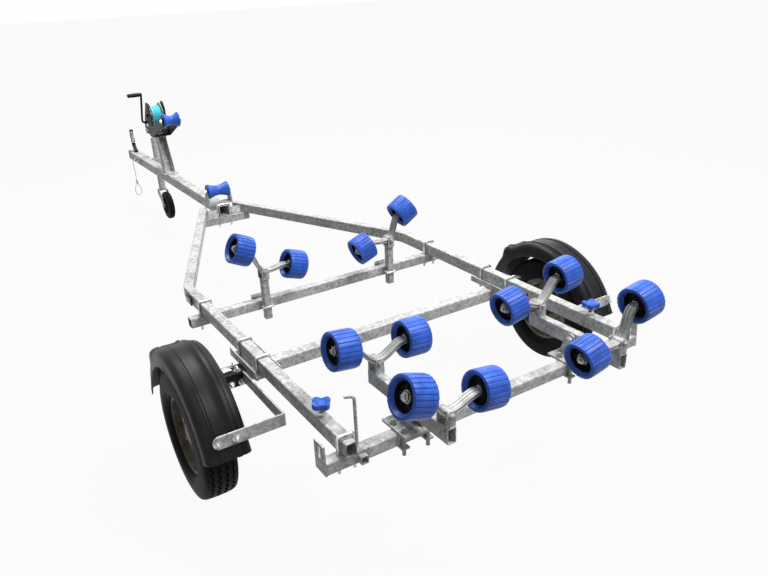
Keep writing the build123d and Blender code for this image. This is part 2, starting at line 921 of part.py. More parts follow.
# ---- keel roller ----
def waisted_roller(half, end_radius, waist_radius, pin_radius, station, height):
    """Hourglass roller turned about a cross pin."""
    points = [
        (-half, pin_radius + running_gap),
        (-half, end_radius - 4.0),
        (-half + 4.0, end_radius),
        (-half + 12.0, end_radius - 1.0),
        (-0.35 * half, waist_radius + 2.0),
        (0, waist_radius),
        (0.35 * half, waist_radius + 2.0),
        (half - 12.0, end_radius - 1.0),
        (half - 4.0, end_radius),
        (half, end_radius - 4.0),
        (half, pin_radius + running_gap),
    ]
    return spin_about_x(points, 0, station, height)


def keel_bracket():
    """Folded bracket on the drawbar's rear end that carries the keel roller's pin."""
    inner = keel_half + 2.0
    ear_low = drawbar_top
    base = block(
        2 * inner + 2 * keel_plate, 70.0, keel_plate, 0, keel_station,
        drawbar_top + keel_plate / 2,
    )
    bracket = base
    for side in (-1, 1):
        x = side * (inner + keel_plate / 2)
        bracket += profile_x(
            [
                (keel_station - 35.0, ear_low),
                (keel_station + 35.0, ear_low),
                (keel_station + 16.0, keel_height + 6.0),
                (keel_station - 16.0, keel_height + 6.0),
            ],
            x, keel_plate,
        )
        bracket += rod(16.0, keel_plate, (1, 0, 0), x, keel_station, keel_height)
    bracket += rod(
        keel_pin_radius, 2 * inner + 2 * keel_plate + 20.0, (1, 0, 0), 0, keel_station, keel_height
    )
    return bracket


# ---- winch post ----
def winch_post():
    """Folded channel post, open to the rear, wider at its foot, with its foot plate."""
    half_depth = post_depth / 2
    foot_plate = block(
        2 * post_foot_half + 24.0, post_depth + 44.0, 6.0, 0, post_foot_station, drawbar_top + 3.0
    )
    foot = Plane(origin=place(0, post_foot_station, drawbar_top + 5.0), z_dir=(0, 0, 1))
    head = Plane(origin=place(0, post_head_station, post_head_height), z_dir=(0, 0, 1))
    outer = loft(
        [foot * Rectangle(2 * post_foot_half, post_depth),
         head * Rectangle(2 * post_head_half, post_depth)]
    )
    shift = post_wall + 0.0
    bore = loft(
        [
            foot * Pos(0, -shift) * Rectangle(2 * (post_foot_half - post_wall), post_depth),
            head * Pos(0, -shift) * Rectangle(2 * (post_head_half - post_wall), post_depth),
        ]
    )
    post = foot_plate + (outer - bore)
    cap = block(
        2 * post_head_half + 8.0, post_depth + 4.0, 6.0, 0, post_head_station, post_head_height + 3.0
    )
    return post + cap


def bow_arms():
    """Two arms from the post's head back and up to the bow roller's pin."""
    arms_solid = None
    for side in (-1, 1):
        x = side * (bow_half + 3.0 + bow_plate / 2)
        plate = profile_x(
            [
                (post_head_station + 30.0, post_head_height + 6.0),
                (post_head_station - 40.0, post_head_height + 6.0),
                (bow_station - 14.0, bow_height - 22.0),
                (bow_station - 18.0, bow_height + 6.0),
                (bow_station + 12.0, bow_height + 18.0),
                (post_head_station + 30.0, post_head_height + 52.0),
            ],
            x, bow_plate,
        )
        plate += rod(18.0, bow_plate, (1, 0, 0), x, bow_station, bow_height)
        arms_solid = plate if arms_solid is None else arms_solid + plate
    width = 2 * (bow_half + 3.0)
    arms_solid += block(
        width + 2 * bow_plate, 70.0, 6.0, 0, post_head_station - 5.0, post_head_height + 9.0
    )
    arms_solid += rod(
        bow_pin_radius, width + 2 * bow_plate + 18.0, (1, 0, 0), 0, bow_station, bow_height
    )
    return arms_solid


# ---- winch ----
def winch_frame():
    """Two side plates joined by a base and a rear tie, with the drum's shaft."""
    outline = [
        (drum_station - 70.0, drum_height + 40.0),
        (drum_station - 40.0, drum_height + winch_plate_rise),
        (drum_station + 4.0, drum_height + winch_plate_rise),
        (crank_station + 34.0, crank_height - 10.0),
        (crank_station + 30.0, post_head_height + 12.0),
        (drum_station - 60.0, post_head_height + 12.0),
    ]
    frame = None
    for side in (-1, 1):
        plate = profile_x(outline, side * (winch_half - winch_plate / 2), winch_plate)
        frame = plate if frame is None else frame + plate
    length = crank_station + 30.0 - (drum_station - 60.0)
    frame += block(
        2 * winch_half, length, 5.0, 0, drum_station - 60.0 + length / 2, post_head_height + 14.5
    )
    frame += rod(
        9.0, 2 * winch_half + 16.0, (1, 0, 0), 0, drum_station, drum_height
    )
    return frame - rod(
        crank_shaft_radius + running_gap, 2 * winch_half + 2, (1, 0, 0), 0, crank_station,
        crank_height,
    )


def winch_drum():
    """Spool with a plate at each end, turning on the drum's shaft."""
    spool = spin_about_x(
        [
            (-drum_half - flange_thickness, 9.0 + running_gap),
            (-drum_half - flange_thickness, flange_radius),
            (-drum_half, flange_radius),
            (-drum_half, drum_radius),
            (drum_half, drum_radius),
            (drum_half, flange_radius),
            (drum_half + flange_thickness, flange_radius),
            (drum_half + flange_thickness, 9.0 + running_gap),
        ],
        0, drum_station, drum_height,
    )
    return spool


def winch_strap():
    """Webbing wound on the drum."""
    return spin_about_x(
        [
            (-drum_half + 3.0, drum_radius),
            (-drum_half + 3.0, strap_radius),
            (drum_half - 3.0, strap_radius),
            (drum_half - 3.0, drum_radius),
        ],
        0, drum_station, drum_height,
    )


def winch_crank():
    """Crank shaft, flat arm and grip, on the left of the winch."""
    shaft_out = winch_half + 20.0
    crank = rod(
        crank_shaft_radius, winch_half + shaft_out, (1, 0, 0), (winch_half - shaft_out) / 2,
        crank_station, crank_height,
    )
    turn = radians(crank_lean)
    middle_s = crank_station - sin(turn) * crank_length / 2
    middle_z = crank_height + cos(turn) * crank_length / 2
    arm_x_place = -shaft_out - crank_thickness / 2 + 1.0
    arm = Pos(*place(arm_x_place, middle_s, middle_z)) * Rot(crank_lean, 0, 0)
    crank += arm * Box(crank_thickness, crank_width, crank_length)
    for s, z in (
        (crank_station, crank_height),
        (crank_station - sin(turn) * crank_length, crank_height + cos(turn) * crank_length),
    ):
        crank += rod(crank_width / 2, crank_thickness, (1, 0, 0), arm_x_place, s, z)
    return crank


def winch_grip():
    """Round grip at the crank's end."""
    turn = radians(crank_lean)
    start = -winch_half - 20.0 - crank_thickness + 1.0
    return rod(
        grip_radius, grip_length, (1, 0, 0), start - grip_length / 2,
        crank_station - sin(turn) * crank_length, crank_height + cos(turn) * crank_length,
    )


# ---- coupling ----
def coupling_body():
    """Pressed channel that straddles the drawbar's front end and closes into a ball socket."""
    half = drawbar_width / 2 + coupling_gap + coupling_wall
    top = drawbar_top + coupling_gap + coupling_wall
    bottom = drawbar_bottom + coupling_drop
    nose_half = head_radius
    shoulder = ball_station - 70.0
    channel_length = shoulder - coupling_rear_station
    body = block(
        2 * half, channel_length, top - bottom, 0, coupling_rear_station + channel_length / 2,
        (top + bottom) / 2,
    )
    rear = Plane(origin=place(0, shoulder - 1.0, (top + bottom) / 2), z_dir=(0, 1, 0))
    front = Plane(origin=place(0, ball_station, (top + bottom) / 2), z_dir=(0, 1, 0))
    body += loft([rear * Rectangle(2 * half, top - bottom),
                  front * Rectangle(2 * nose_half, top - bottom)])
    body += rod(nose_half, top - bottom, (0, 0, 1), 0, ball_station, (top + bottom) / 2)
    bore_width = drawbar_width + 2 * coupling_gap
    bore_top = drawbar_top + coupling_gap
    body -= block(
        bore_width, drawbar_front_station - coupling_rear_station + 12.0, bore_top - bottom + 2.0,
        0, (drawbar_front_station + coupling_rear_station) / 2 + 4.0,
        (bore_top + bottom - 2.0) / 2,
    )
    socket = Pos(*place(0, ball_station, bottom + 20.0))
    body -= socket * Sphere(ball_radius + 0.4)
    body -= socket * Pos(0, 0, -30.0) * Cylinder(ball_radius + 0.4, 60.0)
    first_bolt = drawbar_front_station - coupling_bolt_inset
    for station in (first_bolt, first_bolt - coupling_bolt_pitch):
        body += rod(
            6.0, 2 * half + 24.0, (1, 0, 0), 0, station, drawbar_bottom + drawbar_height / 2
        ) - block(drawbar_width + 1.0, 60.0, 30.0, 0, station, drawbar_bottom + drawbar_height / 2)
        for side in (-1, 1):
            body += hexagon(
                nut_radius, nut_thickness, (1, 0, 0), side * (half + nut_thickness / 2),
                station, drawbar_bottom + drawbar_height / 2,
            )
    return body


def coupling_lever():
    """Curved hand lever that stands on the coupling's back."""
    top = drawbar_top + coupling_gap + coupling_wall
    path = FilletPolyline(
        place(0, lever_station - 34.0, top + 6.0),
        place(0, lever_station + 6.0, top + 46.0),
        place(0, lever_station + 12.0, top + lever_length),
        radius=40.0,
    )
    section = Plane(origin=path @ 0, x_dir=(1, 0, 0), z_dir=path % 0) * Rectangle(26.0, 9.0)
    lever = sweep(section, path)
    lever += rod(9.0, 26.0, (1, 0, 0), 0, lever_station - 34.0, top + 9.5)
    return lever


# ---- jockey wheel ----
def jockey_clamp():
    """Split clamp between the drawbar's right side and the jockey's outer tube."""
    bore = jockey_tube_radius
    height = jockey_clamp_height
    centre = drawbar_bottom + drawbar_height / 2
    ring = rod(bore + 8.0, height, (0, 0, 1), jockey_x, jockey_station, centre)
    pad_width = jockey_x - drawbar_width / 2
    ring += block(
        pad_width, jockey_pad, height, drawbar_width / 2 + pad_width / 2, jockey_station, centre
    )
    ring -= rod(bore + 0.1, height + 2, (0, 0, 1), jockey_x, jockey_station, centre)
    return ring


def jockey_outer_tube():
    """The jockey's outer tube with its closed top and turning handle."""
    length = jockey_tube_top - jockey_tube_bottom
    centre = (jockey_tube_top + jockey_tube_bottom) / 2
    tube = rod(jockey_tube_radius, length, (0, 0, 1), jockey_x, jockey_station, centre)
    tube -= rod(
        jockey_tube_radius - jockey_tube_wall, length, (0, 0, 1), jockey_x, jockey_station,
        centre - 8.0,
    )
    cap = jockey_tube_top + 8.0
    tube += rod(9.0, 30.0, (0, 0, 1), jockey_x, jockey_station, cap + 6.0)
    tube += block(
        jockey_handle + 16.0, 16.0, 7.0, jockey_x + jockey_handle / 2 - 2.0, jockey_station,
        cap + 20.0,
    )
    tube += rod(9.0, 44.0, (0, 0, 1), jockey_x + jockey_handle, jockey_station, cap + 44.0)
    return tube


jockey_axle_station = jockey_station - jockey_trail


fork_crown_height = 2 * jockey_wheel_radius + 1.5


def jockey_leg():
    """Inner tube that the screw drives out of the outer tube, with the swivel pin in its foot."""
    foot = jockey_tube_bottom - 2.0
    leg = rod(
        jockey_leg_radius, jockey_leg_length, (0, 0, 1), jockey_x, jockey_station,
        foot + jockey_leg_length / 2,
    )
    length = foot + 1.0 - fork_crown_height - fork_plate / 2
    return leg + rod(
        jockey_swivel_radius, length, (0, 0, 1), jockey_x, jockey_station, foot + 1.0 - length / 2
    )


def jockey_fork():
    """Pressed fork that swivels under the leg, with the wheel's axle."""
    crown_top = fork_crown_height + fork_plate
    inner = jockey_wheel_width / 2 + 4.0
    crown_length = 52.0
    fork_solid = block(
        2 * inner + 2 * fork_plate, crown_length, fork_plate, jockey_x, jockey_station,
        fork_crown_height + fork_plate / 2,
    )
    fork_solid -= rod(
        jockey_swivel_radius + running_gap, 3 * fork_plate, (0, 0, 1), jockey_x, jockey_station,
        fork_crown_height,
    )
    for side in (-1, 1):
        x = jockey_x + side * (inner + fork_plate / 2)
        fork_solid += profile_x(
            [
                (jockey_station + crown_length / 2, crown_top),
                (jockey_station - crown_length / 2, crown_top),
                (jockey_axle_station - 13.0, jockey_wheel_radius),
                (jockey_axle_station + 11.0, jockey_wheel_radius - 8.0),
                (jockey_station + crown_length / 2, crown_top - 30.0),
            ],
            x, fork_plate,
        )
        fork_solid += rod(
            14.0, fork_plate, (1, 0, 0), x, jockey_axle_station, jockey_wheel_radius
        )
    fork_solid += rod(
        jockey_pin_radius, 2 * inner + 2 * fork_plate + 16.0, (1, 0, 0), jockey_x,
        jockey_axle_station, jockey_wheel_radius,
    )
    return fork_solid


def jockey_wheel():
    half = jockey_wheel_width / 2
    outer = jockey_wheel_radius
    return spin_about_x(
        [
            (-half - 2.0, jockey_pin_radius + running_gap),
            (-half - 2.0, 20.0),
            (-8.0, 26.0),
            (-8.0, 62.0),
            (-half, 68.0),
            (-half, outer - 12.0),
            (-half + 9.0, outer),
            (half - 9.0, outer),
            (half, outer - 12.0),
            (half, 68.0),
            (8.0, 62.0),
            (8.0, 26.0),
            (half + 2.0, 20.0),
            (half + 2.0, jockey_pin_radius + running_gap),
        ],
        jockey_x, jockey_axle_station, outer,
    )


# ---- sliding light-board tubes ----
slide_centre = rail_bottom + rail_wall + slide_clearance + slide_height / 2


def slide_tube():
    return box_tube(
        slide_width, slide_height, slide_length, slide_wall, "Y", rail_centre_x,
        slide_length / 2 - slide_overhang, slide_centre,
    )


def slide_knob():
    """Four-lobed hand knob on a screw through a nut welded on the rail."""
    base = rail_top + 12.0
    knob = rod(
        7.0, knob_centre_height - rail_top, (0, 0, 1), rail_centre_x, knob_station,
        (knob_centre_height + rail_top) / 2,
    )
    knob += hexagon(14.0, base - rail_top, (0, 0, 1), rail_centre_x, knob_station,
                    (base + rail_top) / 2)
    head = rod(
        knob_radius, knob_height, (0, 0, 1), rail_centre_x, knob_station, knob_centre_height
    )
    for index in range(4):
        turn = radians(90.0 * index + 20.0)
        head += rod(
            knob_lobe_radius, knob_height, (0, 0, 1), rail_centre_x + knob_radius * cos(turn),
            knob_station + knob_radius * sin(turn), knob_centre_height,
        )
    return knob + head


# ---- rear fittings ----
def tie_plate():
    """Slotted lashing plate on the end of the rear cross member."""
    low = rail_bottom - cross_size
    plate = profile_x(
        [
            (rear_cross_station - cross_size / 2, low),
            (rear_cross_station + cross_size / 2 + tie_reach, low),
            (rear_cross_station + cross_size / 2 + tie_reach, rail_bottom + tie_rise),
            (rear_cross_station - cross_size / 2 + tie_thickness, rail_bottom + tie_rise),
        ],
        cross_half + tie_thickness / 2, tie_thickness,
    )
    slot = Plane(
        origin=place(
            cross_half + tie_thickness / 2, rear_cross_station + tie_slot_step,
            rail_bottom + tie_slot_rise,
        ),
        x_dir=(0, 0, 1), z_dir=(1, 0, 0),
    )
    cut = SlotOverall(tie_slot_length, tie_slot_width)
    return plate - extrude(slot * cut, 2 * tie_thickness, both=True)


def hook_rod():
    """Square stub on the rear cross member's face and the hooked rod that stands beside the rail."""
    stub_length = 16.0
    rear_face = rear_cross_station - cross_size / 2
    x = -(rail_centre_x - rail_width / 2 - hook_inset)
    stub = box_tube(
        hook_stub_size, hook_stub_size, stub_length, 3.0, "Y", x, rear_face - stub_length / 2,
        cross_centre - 4.0,
    )
    foot = rod(6.6, 6.0, (0, 0, 1), x, rear_cross_station + 4.0, rail_bottom + 3.0)
    path = FilletPolyline(
        place(x, rear_cross_station + 4.0, rail_bottom + 1.0),
        place(x, rear_cross_station + 4.0, rail_bottom + hook_height),
        place(x - 26.0, rear_cross_station + 14.0, rail_bottom + hook_height + 2.0),
        radius=12.0,
    )
    bar = sweep(Plane(origin=path @ 0, z_dir=path % 0) * Circle(hook_radius), path)
    return [stub, foot + bar]


# ---- breakaway cable ----
cable_radius = 2.4
cable_station = ball_station - 82.0
cable_x = -(drawbar_width / 2 + coupling_gap + coupling_wall / 2)
ferrule_top = 214.0
ferrule_height = 24.0
cable_route = [
    (0.0, 0.0, drawbar_bottom + coupling_drop),
    (-1.5, 1.0, 334.0),
    (1.5, -1.0, 284.0),
    (0.5, 1.0, 238.0),
    (-3.0, 3.5, 196.0),
    (-16.0, 4.0, 165.0),
    (-25.0, 2.0, 134.0),
    (-16.0, 0.0, 106.0),
    (4.0, -1.0, 98.0),
    (22.0, -2.0, 112.0),
    (26.0, -3.0, 142.0),
    (14.0, -4.0, 172.0),
    (3.0, -3.6, 198.0),
    (1.0, -3.0, 222.0),
]


def cable():
    """The breakaway cable: down from its eye, through the ferrule and back up round its loop."""
    points = [place(cable_x + dx, cable_station + ds, z) for dx, ds, z in cable_route]
    radii = []
    for before, here, after in zip(points, points[1:], points[2:]):
        a = Vector(*here) - Vector(*before)
        b = Vector(*after) - Vector(*here)
        half_turn = radians(a.get_angle(b)) / 2
        radii.append(0.45 * min(a.length, b.length) / tan(half_turn))
    print("cable radii", [round(r) for r in radii])
    path = FilletPolyline(*points, radius=radii)
    tube = sweep(Plane(origin=path @ 0, z_dir=path % 0) * Circle(cable_radius), path)
    print("cable length", round(path.length), "volume ratio",
          round(tube.volume / (3.14159265 * cable_radius**2 * path.length), 4))
    return tube


def cable_ferrule():
    sleeve = block(
        17.0, 9.0, ferrule_height, cable_x, cable_station, ferrule_top - ferrule_height / 2
    )
    sleeve = fillet(sleeve.edges().filter_by(Axis.Z), 4.0)
    return sleeve


def main():
    os.makedirs("parts", exist_ok=True)
    rail = side_rail()
    for name, solid in zip(("right", "left"), both_sides(rail)):
        save(f"side_rail_{name}", solid)
    save("drawbar", drawbar())
    save("nose_cross_bar", nose_cross_bar())
    save("front_cross_member", front_cross_member())
    save("rear_cross_member", rear_cross_member())
    save("axle_beam", axle_beam())
    save("frame_u_bolts", *frame_u_bolts(), *both_sides(post_clamp()), *nose_clamp())
    save("suspension_units", *both_sides(suspension_unit()))
    save("mudguards", *both_sides(mudguard()))
    save("mudguard_stays", *both_sides(rear_stay()))
    save("front_posts", *both_sides(front_post()))
    save("cradle_brackets", *both_sides(cradle_bracket()))
    for name, solid in zip(("right", "left"), both_sides(tyre())):
        save(f"tyre_{name}", solid)
    for name, solid in zip(("right", "left"), both_sides(rim())):
        save(f"rim_{name}", solid)
    for name, solid in zip(("right", "left"), both_sides(cradle_tube())):
        save(f"cradle_{name}", solid)
    for name, side, x, station, rock, inner_lean, outer_lean in arms:
        arm = rocker_arm(x, station, rock, (inner_lean, outer_lean))
        inner = roller(x, station, rock, -1, inner_lean)
        outer = roller(x, station, rock, 1, outer_lean)
        if side < 0:
            arm, inner, outer = [mirror(s, about=Plane.YZ) for s in (arm, inner, outer)]
        save(f"arm_{name}", arm)
        save(f"roller_{name}_inner", inner)
        save(f"roller_{name}_outer", outer)
    save("keel_bracket", keel_bracket())
    save("keel_roller", waisted_roller(
        keel_half, keel_end_radius, keel_waist_radius, keel_pin_radius, keel_station, keel_height))
    save("winch_post", winch_post())
    save("bow_roller_arms", bow_arms())
    save("bow_roller", waisted_roller(
        bow_half, bow_end_radius, bow_waist_radius, bow_pin_radius, bow_station, bow_height))
    save("winch_frame", winch_frame())
    save("winch_drum", winch_drum())
    save("winch_strap", winch_strap())
    save("winch_crank", winch_crank())
    save("winch_grip", winch_grip())
    save("coupling_body", coupling_body())
    save("coupling_lever", coupling_lever())
    save("jockey_clamp", jockey_clamp())
    save("jockey_outer_tube", jockey_outer_tube())
    save("jockey_leg", jockey_leg())
    save("jockey_fork", jockey_fork())
    save("jockey_wheel", jockey_wheel())
    for name, solid in zip(("right", "left"), both_sides(slide_tube())):
        save(f"light_slide_{name}", solid)
    save("slide_knobs", *both_sides(slide_knob()))
    save("hook_rod", *hook_rod())
    save("breakaway_cable", cable())
    save("cable_ferrule", cable_ferrule())


main()
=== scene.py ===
"""Looks of a roller boat trailer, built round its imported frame.

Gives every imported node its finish, puts finer rollers, arms, tyres, mudguards, winch parts and
knobs in place of plain ones, adds small fittings, and sets up a stage.
"""

import json
import math

import bmesh
import bpy
from bpy.props import FloatProperty, FloatVectorProperty, IntProperty, PointerProperty
from mathutils import Matrix, Vector


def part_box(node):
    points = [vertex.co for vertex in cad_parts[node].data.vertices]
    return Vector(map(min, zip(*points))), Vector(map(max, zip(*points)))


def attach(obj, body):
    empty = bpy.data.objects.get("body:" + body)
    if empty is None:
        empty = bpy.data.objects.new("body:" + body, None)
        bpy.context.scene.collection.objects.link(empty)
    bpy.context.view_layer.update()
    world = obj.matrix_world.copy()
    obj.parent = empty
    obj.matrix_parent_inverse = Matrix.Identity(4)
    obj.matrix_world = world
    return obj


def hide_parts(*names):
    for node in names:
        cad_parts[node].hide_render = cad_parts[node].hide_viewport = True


bl_info = {
    "name": "Roller boat trailer",
    "version": (1, 0, 0),
    "blender": (4, 5, 0),
    "location": "3D View > Sidebar > Trailer",
    "description": "Builds the looks of a roller boat trailer round its packed frame",
    "category": "Add Mesh",
}

MM = 0.001
TURN = 2 * math.pi

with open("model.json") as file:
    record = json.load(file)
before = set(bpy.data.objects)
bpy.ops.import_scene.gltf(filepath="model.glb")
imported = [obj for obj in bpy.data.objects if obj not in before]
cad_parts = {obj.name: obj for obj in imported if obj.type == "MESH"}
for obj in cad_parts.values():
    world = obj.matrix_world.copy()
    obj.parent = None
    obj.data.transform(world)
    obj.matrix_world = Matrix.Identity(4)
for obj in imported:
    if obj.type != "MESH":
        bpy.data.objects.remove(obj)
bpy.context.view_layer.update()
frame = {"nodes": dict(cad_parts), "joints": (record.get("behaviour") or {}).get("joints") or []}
joint_of = {joint["child"]: joint for joint in frame["joints"]}
ARM_NAMES = [
    f"{end}_{side}" for end in ("front", "middle", "rear") for side in ("left", "right")
]


# ---- settings that a user would change ----


class TrailerColours(bpy.types.PropertyGroup):
    """Base colours of the finishes."""

    zinc: FloatVectorProperty(
        name="Zinc", description="Bright cells of the galvanised steel", subtype="COLOR",
        default=(0.72, 0.735, 0.73), min=0, max=1,
    )
    zinc_dark: FloatVectorProperty(
        name="Dark zinc", description="Dark cells of the galvanised steel", subtype="COLOR",
        default=(0.22, 0.222, 0.20), min=0, max=1,
    )
    bolt: FloatVectorProperty(
        name="Bolt", description="Zinc-plated bolts and nuts", subtype="COLOR",
        default=(0.70, 0.71, 0.72), min=0, max=1,
    )
    blue: FloatVectorProperty(
        name="Blue", description="Moulded rollers and hand knobs", subtype="COLOR",
        default=(0.030, 0.125, 0.62), min=0, max=1,
    )
    rubber: FloatVectorProperty(
        name="Rubber", description="Tyres", subtype="COLOR", default=(0.006, 0.006, 0.006),
        min=0, max=1,
    )
    black: FloatVectorProperty(
        name="Black plastic", description="Mudguards, hubs and grips", subtype="COLOR",
        default=(0.007, 0.007, 0.009), min=0, max=1,
    )
    webbing: FloatVectorProperty(
        name="Webbing", description="Winch strap", subtype="COLOR", default=(0.08, 0.74, 0.92),
        min=0, max=1,
    )
    reflector: FloatVectorProperty(
        name="Reflector", description="Side reflector", subtype="COLOR",
        default=(0.42, 0.10, 0.015), min=0, max=1,
    )


class TrailerSizes(bpy.types.PropertyGroup):
    """Sizes of the pieces that are modelled here."""

    roller_radius: FloatProperty(
        name="Roller radius", description="Outside of a ribbed roller", unit="LENGTH",
        default=60 * MM,
    )
    roller_width: FloatProperty(
        name="Roller width", description="Length of a ribbed roller", unit="LENGTH",
        default=78 * MM,
    )
    roller_ribs: IntProperty(
        name="Roller ribs", description="Ribs round a ribbed roller", default=24, min=6, max=60,
    )
    rib_depth: FloatProperty(
        name="Rib depth", description="Depth of the grooves of a ribbed roller", unit="LENGTH",
        default=2.4 * MM,
    )
    tread_pitches: IntProperty(
        name="Tread pitches", description="Zigzags round a tyre", default=46, min=20, max=90,
    )
    tread_depth: FloatProperty(
        name="Tread depth", description="Depth of a tyre's grooves", unit="LENGTH",
        default=6 * MM,
    )


class StageSettings(bpy.types.PropertyGroup):
    """Camera, floor and lamps."""

    camera_place: FloatVectorProperty(
        name="Camera place", description="Where the camera stands", subtype="TRANSLATION",
        unit="LENGTH", default=(-1.2759, -3.3858, 1.5292),
    )
    heading: FloatProperty(
        name="Heading", description="Camera's turn from +Y towards +X", subtype="ANGLE",
        default=math.radians(30.686),
    )
    pitch: FloatProperty(
        name="Pitch", description="Camera's tilt below the horizon", subtype="ANGLE",
        default=math.radians(25.283),
    )
    roll: FloatProperty(
        name="Roll", description="Camera's turn about its own axis", subtype="ANGLE",
        default=math.radians(-2.8505),
    )
    lens: FloatProperty(
        name="Lens", description="Focal length on a 36 mm sensor, in mm", default=32.30,
    )
    shift_x: FloatProperty(name="Shift X", description="Sideways shift", default=0.0245)
    shift_y: FloatProperty(name="Shift Y", description="Upward shift", default=0.0290)
    floor_colour: FloatVectorProperty(
        name="Floor", description="Colour of the floor", subtype="COLOR",
        default=(0.28, 0.28, 0.28), min=0, max=1,
    )


# ---- node trees ----


class Wire:
    """A node's output on which Python's own operators build Math nodes."""

    def __init__(self, graph, socket):
        self.graph = graph
        self.socket = socket

    def math(self, operation, *others):
        """A Math node on this output and others, which may be numbers."""
        values = dict(enumerate((self, *others)))
        return self.graph.node("ShaderNodeMath", {"operation": operation}, values)

    def reflected(self, operation, other):
        """A Math node with a number before this output."""
        return self.graph.node("ShaderNodeMath", {"operation": operation}, {0: other, 1: self})

    def __add__(self, other):
        return self.math("ADD", other)

    def __radd__(self, other):
        return self.reflected("ADD", other)

    def __sub__(self, other):
        return self.math("SUBTRACT", other)

    def __rsub__(self, other):
        return self.reflected("SUBTRACT", other)

    def __mul__(self, other):
        return self.math("MULTIPLY", other)

    def __rmul__(self, other):
        return self.reflected("MULTIPLY", other)

    def __truediv__(self, other):
        return self.math("DIVIDE", other)

    def __rtruediv__(self, other):
        return self.reflected("DIVIDE", other)


class Graph:
    """Builds a node tree, one node a call."""

    def __init__(self, tree):
        self.tree = tree
        tree.nodes.clear()

    def node(self, kind, settings=None, sockets=None, out=0):
        """Adds a node: its settings first, then the values or wires of its sockets."""
        new = self.tree.nodes.new(kind)
        for name, value in (settings or {}).items():
            if name == "stops":
                ramp = new.color_ramp.elements
                while len(ramp) < len(value):
                    ramp.new(0.5)
                for element, (position, shade) in zip(ramp, value):
                    element.position = position
                    element.color = (shade, shade, shade, 1)
            else:
                setattr(new, name, value)
        for key, value in (sockets or {}).items():
            if isinstance(value, Wire):
                self.tree.links.new(value.socket, new.inputs[key])
            else:
                new.inputs[key].default_value = value
        return Wire(self, new.outputs[out]) if len(new.outputs) else new

    def grey(self, factor, *stops):
        """A ramp of plain numbers, as (position, value) pairs."""
        return self.node("ShaderNodeValToRGB", {"stops": stops}, {0: factor})

    def mix(self, factor, first, second):
        """Mixes two colours."""
        values = {0: factor}
        for key, value in ((6, first), (7, second)):
            values[key] = value if isinstance(value, Wire) else (*value[:3], 1)
        settings = {"data_type": "RGBA", "clamp_result": True}
        return self.node("ShaderNodeMix", settings, values, out=2)

    def split(self, vector):
        """X, Y and Z of a vector."""
        node = self.node("ShaderNodeSeparateXYZ", None, {0: vector}).socket.node
        return [Wire(self, socket) for socket in node.outputs]


class Finish(Graph):
    """A material with one Principled shader, on Object coordinates."""

    def __init__(self, name, **constants):
        self.material = bpy.data.materials.new(name)
        self.material.use_nodes = True
        super().__init__(self.material.node_tree)
        self.place = self.node("ShaderNodeTexCoord", out=3)
        surface = self.node("ShaderNodeBsdfPrincipled")
        self.node("ShaderNodeOutputMaterial", None, {0: surface})
        self.shader = surface.socket.node
        for name, value in constants.items():
            self.set(name.replace("_", " ").title(), value)

    def set(self, name, value):
        """Gives a socket of the shader a number, a colour or a wire."""
        socket = self.shader.inputs[name.replace("Ior", "IOR")]
        if isinstance(value, Wire):
            self.tree.links.new(value.socket, socket)
        else:
            socket.default_value = (*value, 1) if isinstance(value, tuple) else value

    def noise(self, scale, detail=3.0, rough=0.5, place=None):
        """Soft noise, with so many cells to a metre."""
        return self.node(
            "ShaderNodeTexNoise", None,
            {"Vector": place or self.place, "Scale": scale, "Detail": detail, "Roughness": rough},
        )

    def stretched(self, x, y, z):
        """Object coordinates scaled on each axis."""
        return self.node("ShaderNodeMapping", None, {0: self.place, "Scale": (x, y, z)})

    def bump(self, height, strength, distance):
        """Normals as bent by a height."""
        values = {"Height": height, "Strength": strength, "Distance": distance}
        return self.node("ShaderNodeBump", None, values)


def colours():
    """The user's colours."""
    return bpy.context.scene.trailer_colours


def sizes():
    """The user's sizes."""
    return bpy.context.scene.trailer_sizes


def galvanised(name, shade=1.0, cell=95.0):
    """Hot-dip zinc: flat crystal cells, cloudy patches and faint runs."""
    bright = [shade * v for v in colours().zinc]
    dark = [shade * v for v in colours().zinc_dark]
    look = Finish(name, metallic=0.02, specular_ior_level=0.25)
    warp = look.noise(22.0, 3.0)
    warped = look.node(
        "ShaderNodeVectorMath", {"operation": "MULTIPLY_ADD"},
        {0: warp, 1: (0.012, 0.012, 0.012), 2: look.place},
    )
    cells = look.node("ShaderNodeTexVoronoi", None, {"Vector": warped, "Scale": cell}, out=1)
    tone = look.node("ShaderNodeSeparateColor", None, {0: cells})
    clouds = look.noise(9.0, 5.0, 0.6)
    fine = look.noise(160.0, 4.0, 0.6)
    runs = look.noise(6.0, 4.0, 0.6, look.stretched(9.0, 2.0, 9.0))
    level = tone * 0.22 + clouds * 0.40 + fine * 0.20 + runs * 0.34
    amount = look.grey(level, (0.34, 0.0), (0.78, 1.0))
    look.set("Base Color", look.mix(amount, dark, bright))
    look.set("Roughness", look.grey(level, (0.45, 0.50), (0.85, 0.30)))
    look.set("Normal", look.bump(fine * 0.5 + tone * 0.3, 0.25, 0.0006))
    return look.material


def cast_zinc(name):
    """Smooth, bright zinc on the cast arms, with faint clouds."""
    look = Finish(name, metallic=0.12, specular_ior_level=0.35)
    clouds = look.noise(14.0, 4.0, 0.55)
    fine = look.noise(190.0, 3.0)
    level = look.grey(clouds + fine * 0.25, (0.42, 0.0), (0.82, 1.0))
    look.set("Base Color", look.mix(level, (0.30, 0.30, 0.285), (0.66, 0.66, 0.65)))
    look.set("Roughness", look.grey(clouds, (0.3, 0.50), (0.7, 0.38)))
    look.set("Normal", look.bump(fine, 0.12, 0.0004))
    return look.material


